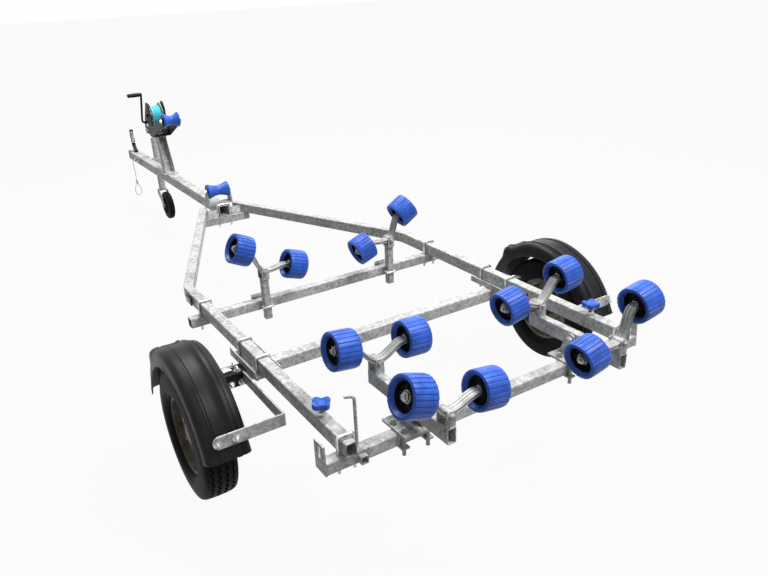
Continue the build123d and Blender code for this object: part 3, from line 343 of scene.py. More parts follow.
def rim_zinc(name):
    """Dull zinc on the road wheels in patches; its dark brown base colour is painted reflection of
    the dark surroundings.
    """
    look = Finish(name, metallic=0.3, specular_ior_level=0.25)
    patches = look.noise(18.0, 5.0, 0.6)
    fine = look.noise(150.0, 3.0)
    level = look.grey(patches + fine * 0.3, (0.45, 0.0), (0.85, 1.0))
    # Painted reflection: both colours are darkened and tinted brown-olive to stand for the dark
    # surroundings that the zinc mirrors.
    look.set("Base Color", look.mix(level, (0.075, 0.060, 0.040), (0.25, 0.23, 0.19)))
    look.set("Roughness", look.grey(fine, (0.3, 0.55), (0.7, 0.38)))
    look.set("Normal", look.bump(fine, 0.2, 0.0006))
    return look.material


def plated(name, shade=1.0):
    """Bright zinc plate on bolts, nuts and clamps."""
    base = tuple(shade * v for v in colours().bolt)
    look = Finish(name, metallic=0.9)
    patches = look.noise(60.0, 4.0)
    dirty = tuple(0.55 * v for v in base)
    look.set("Base Color", look.mix(look.grey(patches, (0.35, 0.0), (0.6, 1.0)), dirty, base))
    look.set("Roughness", look.grey(patches, (0.3, 0.42), (0.7, 0.22)))
    look.set("Normal", look.bump(look.noise(420.0), 0.15, 0.0004))
    return look.material


def blue_plastic(name):
    """Moulded blue polyurethane, faintly mottled, with a soft sheen."""
    base = tuple(colours().blue)
    look = Finish(name, ior=1.5, specular_ior_level=0.3, coat_roughness=0.35, coat_weight=0.05)
    mottle = look.noise(28.0, 4.0)
    scuff = look.noise(240.0, 3.0, 0.6)
    deep = tuple(0.72 * v for v in base)
    light = tuple(min(1.0, 1.18 * v + 0.006) for v in base)
    look.set("Base Color", look.mix(look.grey(mottle, (0.3, 0.0), (0.7, 1.0)), deep, light))
    look.set("Roughness", look.grey(scuff, (0.3, 0.46), (0.7, 0.34)))
    look.set("Normal", look.bump(scuff, 0.08, 0.0005))
    return look.material


def black_plastic(name, rough=0.34, grain=0.12):
    """Black polyethylene with a fine moulded grain."""
    base = tuple(colours().black)
    look = Finish(name, ior=1.5, specular_ior_level=0.16)
    dust = look.noise(11.0, 5.0, 0.6)
    grains = look.noise(520.0, 2.0)
    dusty = tuple(v + 0.007 for v in base)
    look.set("Base Color", look.mix(look.grey(dust, (0.4, 0.0), (0.75, 1.0)), base, dusty))
    look.set("Roughness", look.grey(dust, (0.3, rough), (0.8, rough + 0.14)))
    look.set("Normal", look.bump(grains, grain, 0.0005))
    return look.material


def tyre_rubber(name):
    """Tyre rubber with dusty patches."""
    base = tuple(colours().rubber)
    look = Finish(name, ior=1.5, specular_ior_level=0.06)
    dust = look.noise(14.0, 5.0, 0.65)
    fine = look.noise(300.0, 3.0)
    dusty = tuple(v * 1.5 + 0.006 for v in base)
    look.set("Base Color", look.mix(look.grey(dust, (0.42, 0.0), (0.72, 1.0)), base, dusty))
    look.set("Roughness", look.grey(fine, (0.3, 0.62), (0.7, 0.48)))
    look.set("Normal", look.bump(fine, 0.2, 0.0006))
    return look.material


def black_steel(name):
    """Black coated steel with worn, slightly brown patches."""
    look = Finish(name, ior=1.5, specular_ior_level=0.10)
    wear = look.noise(34.0, 6.0, 0.6)
    worn = look.grey(wear, (0.5, 0.0), (0.75, 1.0))
    look.set("Base Color", look.mix(worn, (0.007, 0.007, 0.008), (0.022, 0.020, 0.018)))
    look.set("Roughness", look.grey(wear, (0.35, 0.30), (0.7, 0.46)))
    look.set("Normal", look.bump(look.noise(380.0), 0.1, 0.0004))
    return look.material


def strap_webbing(name):
    """Woven polyester strap with ribs along its width."""
    base = tuple(colours().webbing)
    look = Finish(name, roughness=0.7, sheen_weight=0.3)
    weave = look.node(
        "ShaderNodeTexWave", {"bands_direction": "X"}, {"Vector": look.place, "Scale": 190.0},
    )
    dark = tuple(0.5 * v for v in base)
    look.set("Base Color", look.mix(look.grey(weave, (0.1, 0.0), (0.6, 1.0)), dark, base))
    look.set("Normal", look.bump(weave, 0.5, 0.0008))
    return look.material


def wire_rope(name):
    """Twisted steel strands under a clear coat."""
    look = Finish(name, metallic=0.8, coat_weight=0.4, coat_roughness=0.1)
    twist = look.node(
        "ShaderNodeTexWave", {"bands_direction": "DIAGONAL"},
        {"Vector": look.place, "Scale": 260.0},
    )
    look.set("Base Color", look.mix(twist, (0.16, 0.16, 0.16), (0.55, 0.56, 0.57)))
    look.set("Roughness", look.grey(twist, (0.2, 0.5), (0.8, 0.28)))
    look.set("Normal", look.bump(twist, 0.6, 0.001))
    return look.material


def reflector_lens(name):
    """Amber lens with a grid of small facets."""
    base = tuple(colours().reflector)
    look = Finish(name, ior=1.5, roughness=0.12)
    facets = look.node(
        "ShaderNodeTexVoronoi", {"distance": "CHEBYCHEV"},
        {"Vector": look.place, "Scale": 420.0, "Randomness": 0.0},
    )
    dark = tuple(0.4 * v for v in base)
    look.set("Base Color", look.mix(look.grey(facets, (0.1, 0.0), (0.6, 1.0)), base, dark))
    look.set("Normal", look.bump(facets, 0.4, 0.001))
    return look.material


def finish(name):
    """The material of that name, made when it is first asked for."""
    makers = {
        "galvanised": galvanised,
        "galvanised_fine": lambda name: galvanised(name, 1.04, 170.0),
        "cast_zinc": cast_zinc,
        "rim_zinc": rim_zinc,
        "plated": plated,
        # Zinc plate at half brightness, on the roller spindles and their nuts.
        "dull_plated": lambda name: plated(name, 0.5),
        "blue_plastic": blue_plastic,
        "black_plastic": black_plastic,
        "hub_plastic": lambda name: black_plastic(name, 0.5, 0.2),
        "tyre_rubber": tyre_rubber,
        "black_steel": black_steel,
        "strap_webbing": strap_webbing,
        "wire_rope": wire_rope,
        "reflector_lens": reflector_lens,
    }
    label = f"{name}_finish"
    return bpy.data.materials.get(label) or makers[name](label)


# ---- meshes ----
THREAD_PITCH = 1.6 * MM


def linked(name, data):
    """A new object of that data, linked to the scene."""
    thing = bpy.data.objects.new(name, data)
    bpy.context.scene.collection.objects.link(thing)
    return thing


def baked(holder):
    """The plain mesh that an object's modifiers make of it. The object itself goes."""
    seen = holder.evaluated_get(bpy.context.evaluated_depsgraph_get())
    data = bpy.data.meshes.new_from_object(seen)
    bpy.data.objects.remove(holder)
    return data


def mesh_data(name, mesh):
    """Mesh data made of a BMesh, which is freed."""
    data = bpy.data.meshes.new(name)
    mesh.to_mesh(data)
    mesh.free()
    return data


def axis_frame(origin, axis, up=(0, 0, 1)):
    """A matrix whose local X lies along the axis and whose local Z leans to up."""
    x = Vector(axis).normalized()
    y = Vector(up).cross(x)
    if y.length < 1e-6:
        y = Vector((0, 1, 0)).cross(x)
    y.normalize()
    z = x.cross(y)
    turn = Matrix((x, y, z)).transposed().to_4x4()
    return Matrix.Translation(Vector(origin)) @ turn


def joint_frame(body):
    """Place and direction of the joint that carries a body."""
    joint = joint_of[body]
    return axis_frame(joint["pos_m"], joint["axis"])


def ring_mesh(name, rings, closed_ring=True, capped=True):
    """Skins rings of points with quads, then closes both ends."""
    mesh = bmesh.new()
    rows = [[mesh.verts.new(point) for point in ring] for ring in rings]
    count = len(rows[0])
    last = count if closed_ring else count - 1
    for lower, upper in zip(rows, rows[1:]):
        for i in range(last):
            j = (i + 1) % count
            mesh.faces.new((lower[i], lower[j], upper[j], upper[i]))
    if capped:
        mesh.faces.new(list(reversed(rows[0])))
        mesh.faces.new(rows[-1])
    bmesh.ops.recalc_face_normals(mesh, faces=mesh.faces)
    return mesh_data(name, mesh)


def turned_point(along, radius, turn):
    """A point at that radius and turn about local X."""
    return (along, radius * math.cos(turn), radius * math.sin(turn))


def lathe(name, profile, steps=48, closed=True):
    """Turns a line of (along, radius) points about local X. A closed one is a loop."""
    rings = [
        [turned_point(x, r, TURN * step / steps) for x, r in profile] for step in range(steps)
    ]
    rings.append(rings[0])
    return merged(ring_mesh(name, rings, closed_ring=closed, capped=False))


def disc(name, radius, start, end, steps=24):
    """A solid disc or bar along local X."""
    return lathe(name, [(start, 0), (start, radius), (end, radius), (end, 0)], steps)


def both_faces(side):
    """The line of a profile's right half and of its mirror image."""
    return side + [(-x, r) for x, r in reversed(side)]


def merged(data, distance=1e-6):
    """Merges doubles, drops empty faces and turns all faces outwards."""
    mesh = bmesh.new()
    mesh.from_mesh(data)
    bmesh.ops.remove_doubles(mesh, verts=mesh.verts, dist=distance)
    bmesh.ops.dissolve_degenerate(mesh, edges=mesh.edges, dist=1e-7)
    bmesh.ops.recalc_face_normals(mesh, faces=mesh.faces)
    mesh.to_mesh(data)
    mesh.free()
    return data


def joined(name, parts):
    """Joins meshes into one, with their materials kept by part."""
    mesh = bmesh.new()
    materials = []
    for part in parts:
        start = len(mesh.faces)
        mesh.from_mesh(part)
        mesh.faces.ensure_lookup_table()
        for face in mesh.faces[start:]:
            material = part.materials[face.material_index] if part.materials else None
            if material not in materials:
                materials.append(material)
            face.material_index = materials.index(material)
    data = mesh_data(name, mesh)
    for material in materials:
        data.materials.append(material)
    return data


def prism(name, outline, thickness, bevel=0.0, segments=2):
    """A plate: an outline in local YZ, from x = 0 to the thickness, with its rims bevelled."""
    mesh = bmesh.new()
    face = mesh.faces.new([mesh.verts.new((0, y, z)) for y, z in outline])
    made = bmesh.ops.extrude_face_region(mesh, geom=[face])
    moved = [item for item in made["geom"] if isinstance(item, bmesh.types.BMVert)]
    bmesh.ops.translate(mesh, verts=moved, vec=(thickness, 0, 0))
    if bevel:
        rim = [
            edge for edge in mesh.edges
            if abs(edge.verts[0].co.x - edge.verts[1].co.x) < 1e-9
        ]
        bmesh.ops.bevel(
            mesh, geom=rim, offset=bevel, segments=segments, profile=0.5, affect="EDGES"
        )
    bmesh.ops.recalc_face_normals(mesh, faces=mesh.faces)
    return mesh_data(name, mesh)


def rectangle(reach, rise):
    """Corners of a rectangle round the origin, from half its width and half its height."""
    return [(-reach, -rise), (reach, -rise), (reach, rise), (-reach, rise)]


def circle_points(radius, count):
    """Points round the origin, the first on the first axis."""
    turns = [TURN * i / count for i in range(count)]
    return [(radius * math.cos(turn), radius * math.sin(turn)) for turn in turns]


def hexagon_nut(name, radius, thickness):
    """A hexagon nut along local X with its corners chamfered at the outer face."""
    outer = circle_points(radius, 6)
    inner = circle_points(radius * 0.86, 6)
    rings = [
        [(0, y, z) for y, z in outer],
        [(0.82 * thickness, y, z) for y, z in outer],
        [(thickness, y, z) for y, z in inner],
    ]
    return ring_mesh(name, rings)


def bolt_end(name, radius, length):
    """A threaded bolt end along local X."""
    profile = [(0.0, 0.0), (0.0, radius)]
    for turn in range(int((length - THREAD_PITCH) / THREAD_PITCH)):
        profile.append(((turn + 0.5) * THREAD_PITCH, 0.86 * radius))
        profile.append(((turn + 1.0) * THREAD_PITCH, radius))
    profile += [
        (length - 0.3 * THREAD_PITCH, 0.84 * radius), (length, 0.7 * radius), (length, 0.0),
    ]
    return lathe(name, profile, 14)


def painted(data, material):
    """The mesh with that finish alone."""
    data.materials.clear()
    data.materials.append(finish(material))
    return data


def transformed(data, matrix):
    """The mesh moved by a matrix. A mirrored one gets its faces turned outwards again."""
    data.transform(matrix)
    if matrix.to_3x3().determinant() < 0:
        data.flip_normals()
    return data


def moved(data, x, y=0.0, z=0.0):
    """The mesh shifted along the axes."""
    return transformed(data, Matrix.Translation((x, y, z)))


def piece(name, data, body, angle=32.0, replaces=()):
    """Puts a finished mesh in the scene as a piece that rides on a body."""
    data.name = name
    data.shade_smooth()
    data.set_sharp_from_angle(angle=math.radians(angle))
    thing = linked(name, data)
    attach(thing, body)
    if replaces:
        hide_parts(*replaces)
    return thing


# ---- Geometry Nodes ----


def new_tree(name, sockets):
    """An empty Geometry Nodes tree with the given (name, socket type) inputs."""
    tree = bpy.data.node_groups.new(name, "GeometryNodeTree")
    tree.interface.new_socket("Geometry", in_out="OUTPUT", socket_type="NodeSocketGeometry")
    for label, kind in [("Geometry", "Geometry"), *sockets]:
        tree.interface.new_socket(label, in_out="INPUT", socket_type=f"NodeSocket{kind}")
    graph = Graph(tree)
    entry = graph.node("NodeGroupInput").socket.node
    inputs = {socket.name: Wire(graph, socket) for socket in entry.outputs if socket.name}
    return graph, inputs


def close_tree(graph, geometry, material):
    """Realizes the instances, sets the material and joins the tree to its output."""
    real = graph.node("GeometryNodeRealizeInstances", None, {0: geometry})
    merged_mesh = graph.node("GeometryNodeMergeByDistance", None, {0: real, "Distance": 0.00001})
    shown = graph.node("GeometryNodeSetMaterial", None, {0: merged_mesh, "Material": material})
    graph.node("NodeGroupOutput", None, {0: shown})
    return graph.tree


def polar_tree():
    """Copies of a mesh turned about local X."""
    name = "repeat_round_axis"
    if name in bpy.data.node_groups:
        return bpy.data.node_groups[name]
    graph, inputs = new_tree(name, [("Count", "Int"), ("Material", "Material")])
    points = graph.node(
        "GeometryNodeMeshLine", None, {"Count": inputs["Count"], "Offset": (0, 0, 0)}
    )
    index = graph.node("GeometryNodeInputIndex")
    turn = index * TURN / inputs["Count"]
    euler = graph.node("ShaderNodeCombineXYZ", None, {"X": turn})
    copies = graph.node(
        "GeometryNodeInstanceOnPoints", None,
        {"Points": points, "Instance": inputs["Geometry"],
         "Rotation": graph.node("FunctionNodeEulerToRotation", None, {0: euler})},
    )
    return close_tree(graph, copies, inputs["Material"])


def scatter_tree():
    """Copies of an object at points, with local X turned to each point's facing."""
    name = "set_at_points"
    if name in bpy.data.node_groups:
        return bpy.data.node_groups[name]
    graph, inputs = new_tree(
        name, [("Fastener", "Object"), ("Scale", "Float"), ("Material", "Material")]
    )
    facing = graph.node("GeometryNodeInputNamedAttribute", {"data_type": "FLOAT_VECTOR"},
                        {"Name": "facing"})
    turn = graph.node("FunctionNodeAlignRotationToVector", {"axis": "X"}, {"Vector": facing})
    source = graph.node("GeometryNodeObjectInfo", None, {"Object": inputs["Fastener"]},
                        out="Geometry")
    copies = graph.node(
        "GeometryNodeInstanceOnPoints", None,
        {"Points": inputs["Geometry"], "Instance": source, "Rotation": turn,
         "Scale": inputs["Scale"]},
    )
    return close_tree(graph, copies, inputs["Material"])


def run_tree(tree, data, values):
    """The plain mesh that a tree makes of a mesh."""
    holder = linked("holder", data)
    modifier = holder.modifiers.new("nodes", "NODES")
    modifier.node_group = tree
    for item in tree.interface.items_tree:
        if item.in_out == "INPUT" and item.name in values:
            modifier[item.identifier] = values[item.name]
    return baked(holder)


def round_axis(data, count, material):
    """The mesh repeated round local X."""
    values = {"Count": count, "Material": finish(material)}
    return run_tree(polar_tree(), data, values)


def web_ring(outlines, thickness, bevel):
    """Six plastic webs round local X, from outlines of (radius, along) points."""
    # A prism's thickness lies along X: this turns it to lie round the hub.
    swap = Matrix(((0, 0, 1, 0), (0, 1, 0, 0), (-1, 0, 0, thickness / 2), (0, 0, 0, 1)))
    webs = [
        transformed(prism("web", outline, thickness, bevel, 1), swap) for outline in outlines
    ]
    return round_axis(joined("webs", webs), 6, "hub_plastic")


def at_points(places, source, material):
    """A fastener mesh at (place, facing) pairs, as one mesh."""
    points = bpy.data.meshes.new("points")
    points.from_pydata([tuple(place) for place, _ in places], [], [])
    facing = points.attributes.new("facing", "FLOAT_VECTOR", "POINT")
    for item, (_, direction) in zip(facing.data, places):
        item.vector = Vector(direction).normalized()
    pattern = linked("pattern", source)
    values = {"Fastener": pattern, "Scale": 1.0, "Material": finish(material)}
    result = run_tree(scatter_tree(), points, values)
    bpy.data.objects.remove(pattern)
    return result


# ---- operators: one for each piece or group of like pieces ----


class PieceOperator:
    """What all the trailer's operators share."""

    bl_options = {"REGISTER", "UNDO"}


FINISH_OF_NODE = {
    "galvanised": (
        "side_rail_left", "side_rail_right", "drawbar", "nose_cross_bar", "front_cross_member",
        "rear_cross_member", "axle_beam", "mudguard_stays", "front_posts", "cradle_left",
        "cradle_right", "keel_bracket", "winch_post", "jockey_outer_tube", "jockey_leg",
        "light_slide_left", "light_slide_right", "jockey_fork", "cradle_brackets",
    ),
    "galvanised_fine": (
        "coupling_body", "hook_rod", "jockey_clamp", "winch_drum",
    ),
    "plated": ("frame_u_bolts", "cable_ferrule"),
    "black_steel": (
        "suspension_units", "winch_frame", "winch_crank", "bow_roller_arms", "coupling_lever",
    ),
    "black_plastic": ("winch_grip", "mudguards"),
    "rim_zinc": ("rim_left", "rim_right"),
    "tyre_rubber": ("tyre_left", "tyre_right", "jockey_wheel"),
    "blue_plastic": ("keel_roller", "bow_roller", "slide_knobs"),
    "strap_webbing": ("winch_strap",),
    "wire_rope": ("breakaway_cable",),
}


class TRAILER_OT_frame_finish(PieceOperator, bpy.types.Operator):
    """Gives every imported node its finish"""

    bl_idname = "trailer.frame_finish"
    bl_label = "Frame finishes"

    def execute(self, context):
        given = {node: name for name, nodes in FINISH_OF_NODE.items() for node in nodes}
        for node, thing in frame["nodes"].items():
            name = given.get(node)
            if node.startswith("arm_"):
                name = "cast_zinc"
            if node.startswith("roller_"):
                name = "blue_plastic"
            if name is None:
                raise ValueError(f"no finish for {node}")
            if not thing.material_slots:
                thing.data.materials.append(None)
            for slot in thing.material_slots:
                slot.link = "OBJECT"
                slot.material = finish(name)
        return {"FINISHED"}


# ---- ribbed rollers ----
RIM_WIDTH = 12 * MM
RING_STEP = 6 * MM
RING_DEPTH = 11 * MM
RECESS_DEPTH = 30 * MM
SHOULDER = 5 * MM
HUB_RADIUS = 21 * MM
HUB_BORE = 10.3 * MM
# How far the end of a hub stands behind the roller's face.
HUB_SETBACK = 21.5 * MM


def rib_sector(ribs, radius, width, depth):
    """One rib of a roller's outside, with its shoulders, out to the face's rim."""
    half = width / 2
    # Rows of (along, how far in from the outside, share of the groove's depth).
    rows = [
        (-half, SHOULDER + 1 * MM, 0.15), (-half + 0.3 * SHOULDER, 0.35 * SHOULDER, 0.7),
        (-half + SHOULDER, 0.6 * MM, 1.0), (-0.5 * half, 0.0, 1.0), (0.0, 0.0, 1.0),
        (0.5 * half, 0.0, 1.0), (half - SHOULDER, 0.6 * MM, 1.0),
        (half - 0.3 * SHOULDER, 0.35 * SHOULDER, 0.7), (half, SHOULDER + 1 * MM, 0.15),
    ]
    # Columns of (share of the rib, share of the groove's depth): a steep side and a long slope.
    columns = [
        (0.0, 1.0), (0.05, 0.95), (0.13, 0.10), (0.22, 0.0), (0.6, 0.06), (0.9, 0.30), (1.0, 1.0),
    ]
    rings = []
    for x, inset, share in rows:
        ring = []
        for part, groove in columns:
            turn = TURN * part / ribs
            ring.append(turned_point(x, radius - inset - depth * groove * share, turn))
        rings.append(ring)
    return ring_mesh("rib", rings, closed_ring=False, capped=False)


def roller_shell(radius, width):
    """The blue rings at both faces of a roller and the hidden wall under its ribs."""
    half = width / 2
    edge = radius - SHOULDER - 1.6 * MM
    lip = radius - RIM_WIDTH
    side = [
        (half - 0.2 * MM, edge), (half + 0.4 * MM, edge - 1.5 * MM),
        (half + 0.4 * MM, lip + 1.5 * MM), (half - 1.2 * MM, lip), (half - 3 * MM, lip - 0.8 * MM),
        (half - RING_DEPTH, lip - RING_STEP), (half - RING_DEPTH - 2 * MM, lip - RING_STEP),
    ]
    back = half - RING_DEPTH - 6 * MM
    wall = [(-back, edge - 1 * MM), (back, edge - 1 * MM)]
    return lathe("shell", both_faces(side) + wall, 72)


def roller_hub(radius, width):
    """Black core of a roller: dished recesses, a bush and fins at both faces."""
    half = width / 2
    lip = radius - RIM_WIDTH - RING_STEP - 0.3 * MM
    reach = half - HUB_SETBACK
    floor = half - RECESS_DEPTH
    side = [
        (half - RING_DEPTH - 1 * MM, lip), (half - RING_DEPTH - 2 * MM, lip - 1.4 * MM),
        (floor + 3 * MM, lip - 2 * MM), (floor, lip - 4 * MM),
        (floor + 0.6 * MM, HUB_RADIUS + 3 * MM), (floor + 2 * MM, HUB_RADIUS + 1 * MM),
        (reach - 1.2 * MM, HUB_RADIUS), (reach, HUB_RADIUS - 1.5 * MM),
        (reach, HUB_BORE + 3.7 * MM), (reach - 1 * MM, HUB_BORE + 2.7 * MM),
        (reach - 1 * MM, HUB_BORE),
    ]
    core = lathe("core", both_faces(side), 48)
    fins = [
        [(HUB_RADIUS - 1 * MM, end * floor), (36 * MM, end * floor),
         (37 * MM, end * (floor + 7 * MM)), (HUB_RADIUS - 0.5 * MM, end * (reach - 3 * MM))]
        for end in (-1, 1)
    ]
    return joined("roller_hub", [painted(core, "hub_plastic"), web_ring(fins, 3 * MM, 0.4 * MM)])


class TRAILER_OT_ribbed_rollers(PieceOperator, bpy.types.Operator):
    """Twelve ribbed rollers with their hubs"""

    bl_idname = "trailer.ribbed_rollers"
    bl_label = "Ribbed rollers"

    def execute(self, context):
        size = sizes()
        sector = rib_sector(size.roller_ribs, size.roller_radius, size.roller_width, size.rib_depth)
        ribs = round_axis(sector, size.roller_ribs, "blue_plastic")
        shell = painted(roller_shell(size.roller_radius, size.roller_width), "blue_plastic")
        tyre = joined("tyre", [ribs, shell])
        hub = roller_hub(size.roller_radius, size.roller_width)
        for arm in ARM_NAMES:
            for end in ("inner", "outer"):
                body = f"roller_{arm}_{end}"
                turn = joint_frame(body)
                rubber = transformed(tyre.copy(), turn)
                piece(f"ribbed_{body}", rubber, body, 28, [body])
                core = transformed(hub.copy(), turn)
                piece(f"hub_{body}", core, body, 30, [body])
        return {"FINISHED"}


# ---- cast rocker arms ----
# How far a casting's tip stops short of the middle of its roller.
WING_END = 26 * MM
# Where the nut of a spindle starts and its bar ends, from the middle of the roller.
SPINDLE_NUT = 20.2 * MM
SPINDLE_REACH = 28 * MM
SLEEVE_HALF = 17 * MM
# Half of the casting's section from its crown down, as (across, up) in mm.
WING_SECTION = [
    (0.0, 7.6), (2.2, 7.6), (3.2, 5.6), (8.2, 5.6), (9.2, 7.2), (12.2, 7.2), (13.4, 5.8),
    (15.8, 5.6), (16.5, 4.6), (16.5, 2.4), (13.2, 1.2), (13.2, -3.0), (16.2, -4.2),
    (16.2, -6.8), (15.0, -7.6),
]


def bowed_line(start, start_way, finish_place, finish_way, steps):
    """Points of a curve that leaves one place and reaches another in given directions."""
    reach = (finish_place - start).length
    points = []
    for step in range(steps + 1):
        t = step / steps
        points.append(
            (2 * t**3 - 3 * t**2 + 1) * start + (t**3 - 2 * t**2 + t) * reach * start_way
            + (3 * t**2 - 2 * t**3) * finish_place + (t**3 - t**2) * reach * finish_way
        )
    return points


def wing_casting(pivot, tips, ways):
    """The gull-wing casting: its ridged section follows a bowed line over the pivot."""
    crest = pivot + Vector((0, 0, 4 * MM))
    along = (tips[1] - tips[0]).normalized()
    line = bowed_line(tips[0], -ways[0], crest, along, 14)[:-1]
    line += bowed_line(crest, along, tips[1], ways[1], 14)
    across = Vector((0, 1, 0))
    half = WING_SECTION
    section = [(-u, v) for u, v in reversed(half[1:])] + half
    rings = []
    for i, point in enumerate(line):
        ahead = line[min(i + 1, len(line) - 1)] - line[max(i - 1, 0)]
        up = ahead.cross(across).normalized()
        if up.z < 0:
            up = -up
        end = min(i, len(line) - 1 - i)
        size = (0.86, 0.96)[end] if end < 2 else 1.0
        rings.append([point + across * (u * size * MM) + up * (v * size * MM) for u, v in section])
    return ring_mesh("wing", rings)


def spindle_parts(place, way):
    """What a roller turns on: its bar with a collar, a washer, a nut and a threaded end."""
    parts = (
        disc("bar", 9.4 * MM, -27 * MM, SPINDLE_REACH, 20),
        moved(hexagon_nut("collar", 15.5 * MM, 6.4 * MM), -25.6 * MM),
        disc("washer", 17.5 * MM, SPINDLE_NUT - 1.8 * MM, SPINDLE_NUT, 28),
        moved(hexagon_nut("nut", 15 * MM, 9 * MM), SPINDLE_NUT),
        moved(bolt_end("thread", 8 * MM, 8 * MM), SPINDLE_REACH),
    )
    axle = axis_frame(place, way)
    return [transformed(painted(data, "dull_plated"), axle) for data in parts]


class TRAILER_OT_rocker_arms(PieceOperator, bpy.types.Operator):
    """Six cast arms with their sleeves and the spindles of their rollers"""

    bl_idname = "trailer.rocker_arms"
    bl_label = "Rocker arms"

    def execute(self, context):
        for arm in ARM_NAMES:
            body = f"arm_{arm}"
            pivot = Vector(joint_of[body]["pos_m"])
            tips, ways, parts = [], [], []
            for end in ("inner", "outer"):
                joint = joint_of[f"roller_{arm}_{end}"]
                place, way = Vector(joint["pos_m"]), Vector(joint["axis"]).normalized()
                tips.append(place - way * WING_END)
                ways.append(way)
                parts += spindle_parts(place, way)
            parts.append(painted(wing_casting(pivot, tips, ways), "cast_zinc"))
            end = [
                (SLEEVE_HALF - 1.5 * MM, 14 * MM), (SLEEVE_HALF, 12.6 * MM),
                (SLEEVE_HALF, 6.1 * MM),
            ]
            sleeve = painted(lathe("sleeve", both_faces(end), 28), "cast_zinc")
            parts.append(transformed(sleeve, axis_frame(pivot, (0, 1, 0))))
            piece(f"cast_{body}", joined("casting", parts), body, 34, [body])
        return {"FINISHED"}


# ---- road wheels ----
BEAD_RADIUS = 127 * MM
# How much narrower the tyre's beads sit than the rim's edges, on each side.
BEAD_INSET = 4.3 * MM
TREAD_SWING = 3.6 * MM
# Where a row of short slots lies, in half widths, and how deep it is for the other grooves.
SLOT_ROW = 0.90
SLOT_SHARE = 0.35


def tread_sector(pitches, radius, width, depth):
    """One zigzag of the tread, from shoulder to shoulder."""
    half = width / 2
    # Columns of (share of the half width, drop below the crown, zigzag share, groove share).
    columns = [
        (-1.0, 0.245, 0, 0), (-0.985, 0.150, 0, 0), (-0.945, 0.085, 0, 0),
        (-SLOT_ROW, 0.045, 0, SLOT_SHARE), (-0.86, 0.030, 0, 0), (-0.80, 0.020, 0, 0),
        (-0.62, 0.008, 1, 0), (-0.60, 0.008, 1, 1), (-0.54, 0.008, 1, 1), (-0.52, 0.007, 1, 0),
        (-0.28, 0.002, 1, 0), (-0.26, 0.002, 1, 1), (-0.15, 0.002, 1, 1), (-0.13, 0.001, 1, 0),
        (0.13, 0.001, 1, 0), (0.15, 0.002, 1, 1), (0.26, 0.002, 1, 1), (0.28, 0.002, 1, 0),
        (0.52, 0.007, 1, 0), (0.54, 0.008, 1, 1), (0.60, 0.008, 1, 1), (0.62, 0.008, 1, 0),
        (0.80, 0.020, 0, 0), (0.86, 0.030, 0, 0), (SLOT_ROW, 0.045, 0, SLOT_SHARE),
        (0.945, 0.085, 0, 0), (0.985, 0.150, 0, 0), (1.0, 0.245, 0, 0),
    ]
    rings = []
    for part, lean in ((0.0, -1.0), (0.25, 0.0), (0.5, 1.0), (0.75, 0.0), (1.0, -1.0)):
        turn = TURN * part / pitches
        ring = []
        for share, drop, zigzag, groove in columns:
            r = radius * (1 - drop) - depth * groove
            if abs(share) == SLOT_ROW and part in (0.25, 0.75):
                r += SLOT_SHARE * depth
            ring.append(turned_point(half * share + TREAD_SWING * lean * zigzag, r, turn))
        rings.append(ring)
    return ring_mesh("tread", rings, closed_ring=False, capped=False)


def tyre_walls(radius, width, bead_radius, bead_half):
    """Both sidewalls, with a rim strip and fine rings, and the hidden bore."""
    half = width / 2
    height = 0.755 * radius - bead_radius
    # Rows of (how far in from the widest place in mm, share of the way from bead to shoulder).
    rows = [
        (0.0, 1.0), (0.6, 0.913), (-0.2, 0.871), (-0.2, 0.763), (1.2, 0.72), (3.5, 0.505),
        (4.3, 0.479), (3.7, 0.453), (7.5, 0.333), (11.0, 0.301), (13.0, 0.239),
    ]
    side = [(half - inset * MM, bead_radius + share * height) for inset, share in rows]
    side += [
        (bead_half + 2 * MM, bead_radius + 0.177 * height),
        (bead_half, bead_radius + 0.15 * height), (bead_half, bead_radius + 0.4 * MM),
    ]
    return lathe("walls", both_faces(side), 112, closed=False)


class TRAILER_OT_tyres(PieceOperator, bpy.types.Operator):
    """Road tyres with a zigzag tread"""

    bl_idname = "trailer.tyres"
    bl_label = "Tyres"

    def execute(self, context):
        size = sizes()
        low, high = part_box("tyre_left")
        radius = (high.z - low.z) / 2
        width = high.x - low.x
        rim_low, rim_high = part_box("rim_left")
        sector = tread_sector(size.tread_pitches, radius, width, size.tread_depth)
        tread = round_axis(sector, size.tread_pitches, "tyre_rubber")
        bead_half = (rim_high.x - rim_low.x) / 2 - BEAD_INSET
        walls = tyre_walls(radius, width, BEAD_RADIUS, bead_half)
        tyre = merged(joined("tyre", [tread, painted(walls, "tyre_rubber")]), 2e-5)
        for side in ("left", "right"):
            turn = joint_frame(f"wheel_{side}")
            low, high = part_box(f"tyre_{side}")
            turn.translation.x = (low.x + high.x) / 2
            piece(
                f"road_tyre_{side}", transformed(tyre.copy(), turn), f"wheel_{side}",
                24, [f"tyre_{side}"],
            )
        return {"FINISHED"}


# ---- mudguards ----
GUARD_RADIUS = 306 * MM
GUARD_WIDTH = 146 * MM
GUARD_FRONT = math.radians(80)
GUARD_REAR = math.radians(74)
GUARD_VALANCE = 46 * MM
GUARD_WALL = 4 * MM
# How far the guard's centre lies below the wheel's.
GUARD_DROP = 20 * MM
# Humps of the crown, as (height, angle from the top towards the rear, spread).
GUARD_HUMPS = (
    (10 * MM, math.radians(-15), math.radians(30)), (21 * MM, math.radians(-41), math.radians(5)),
)


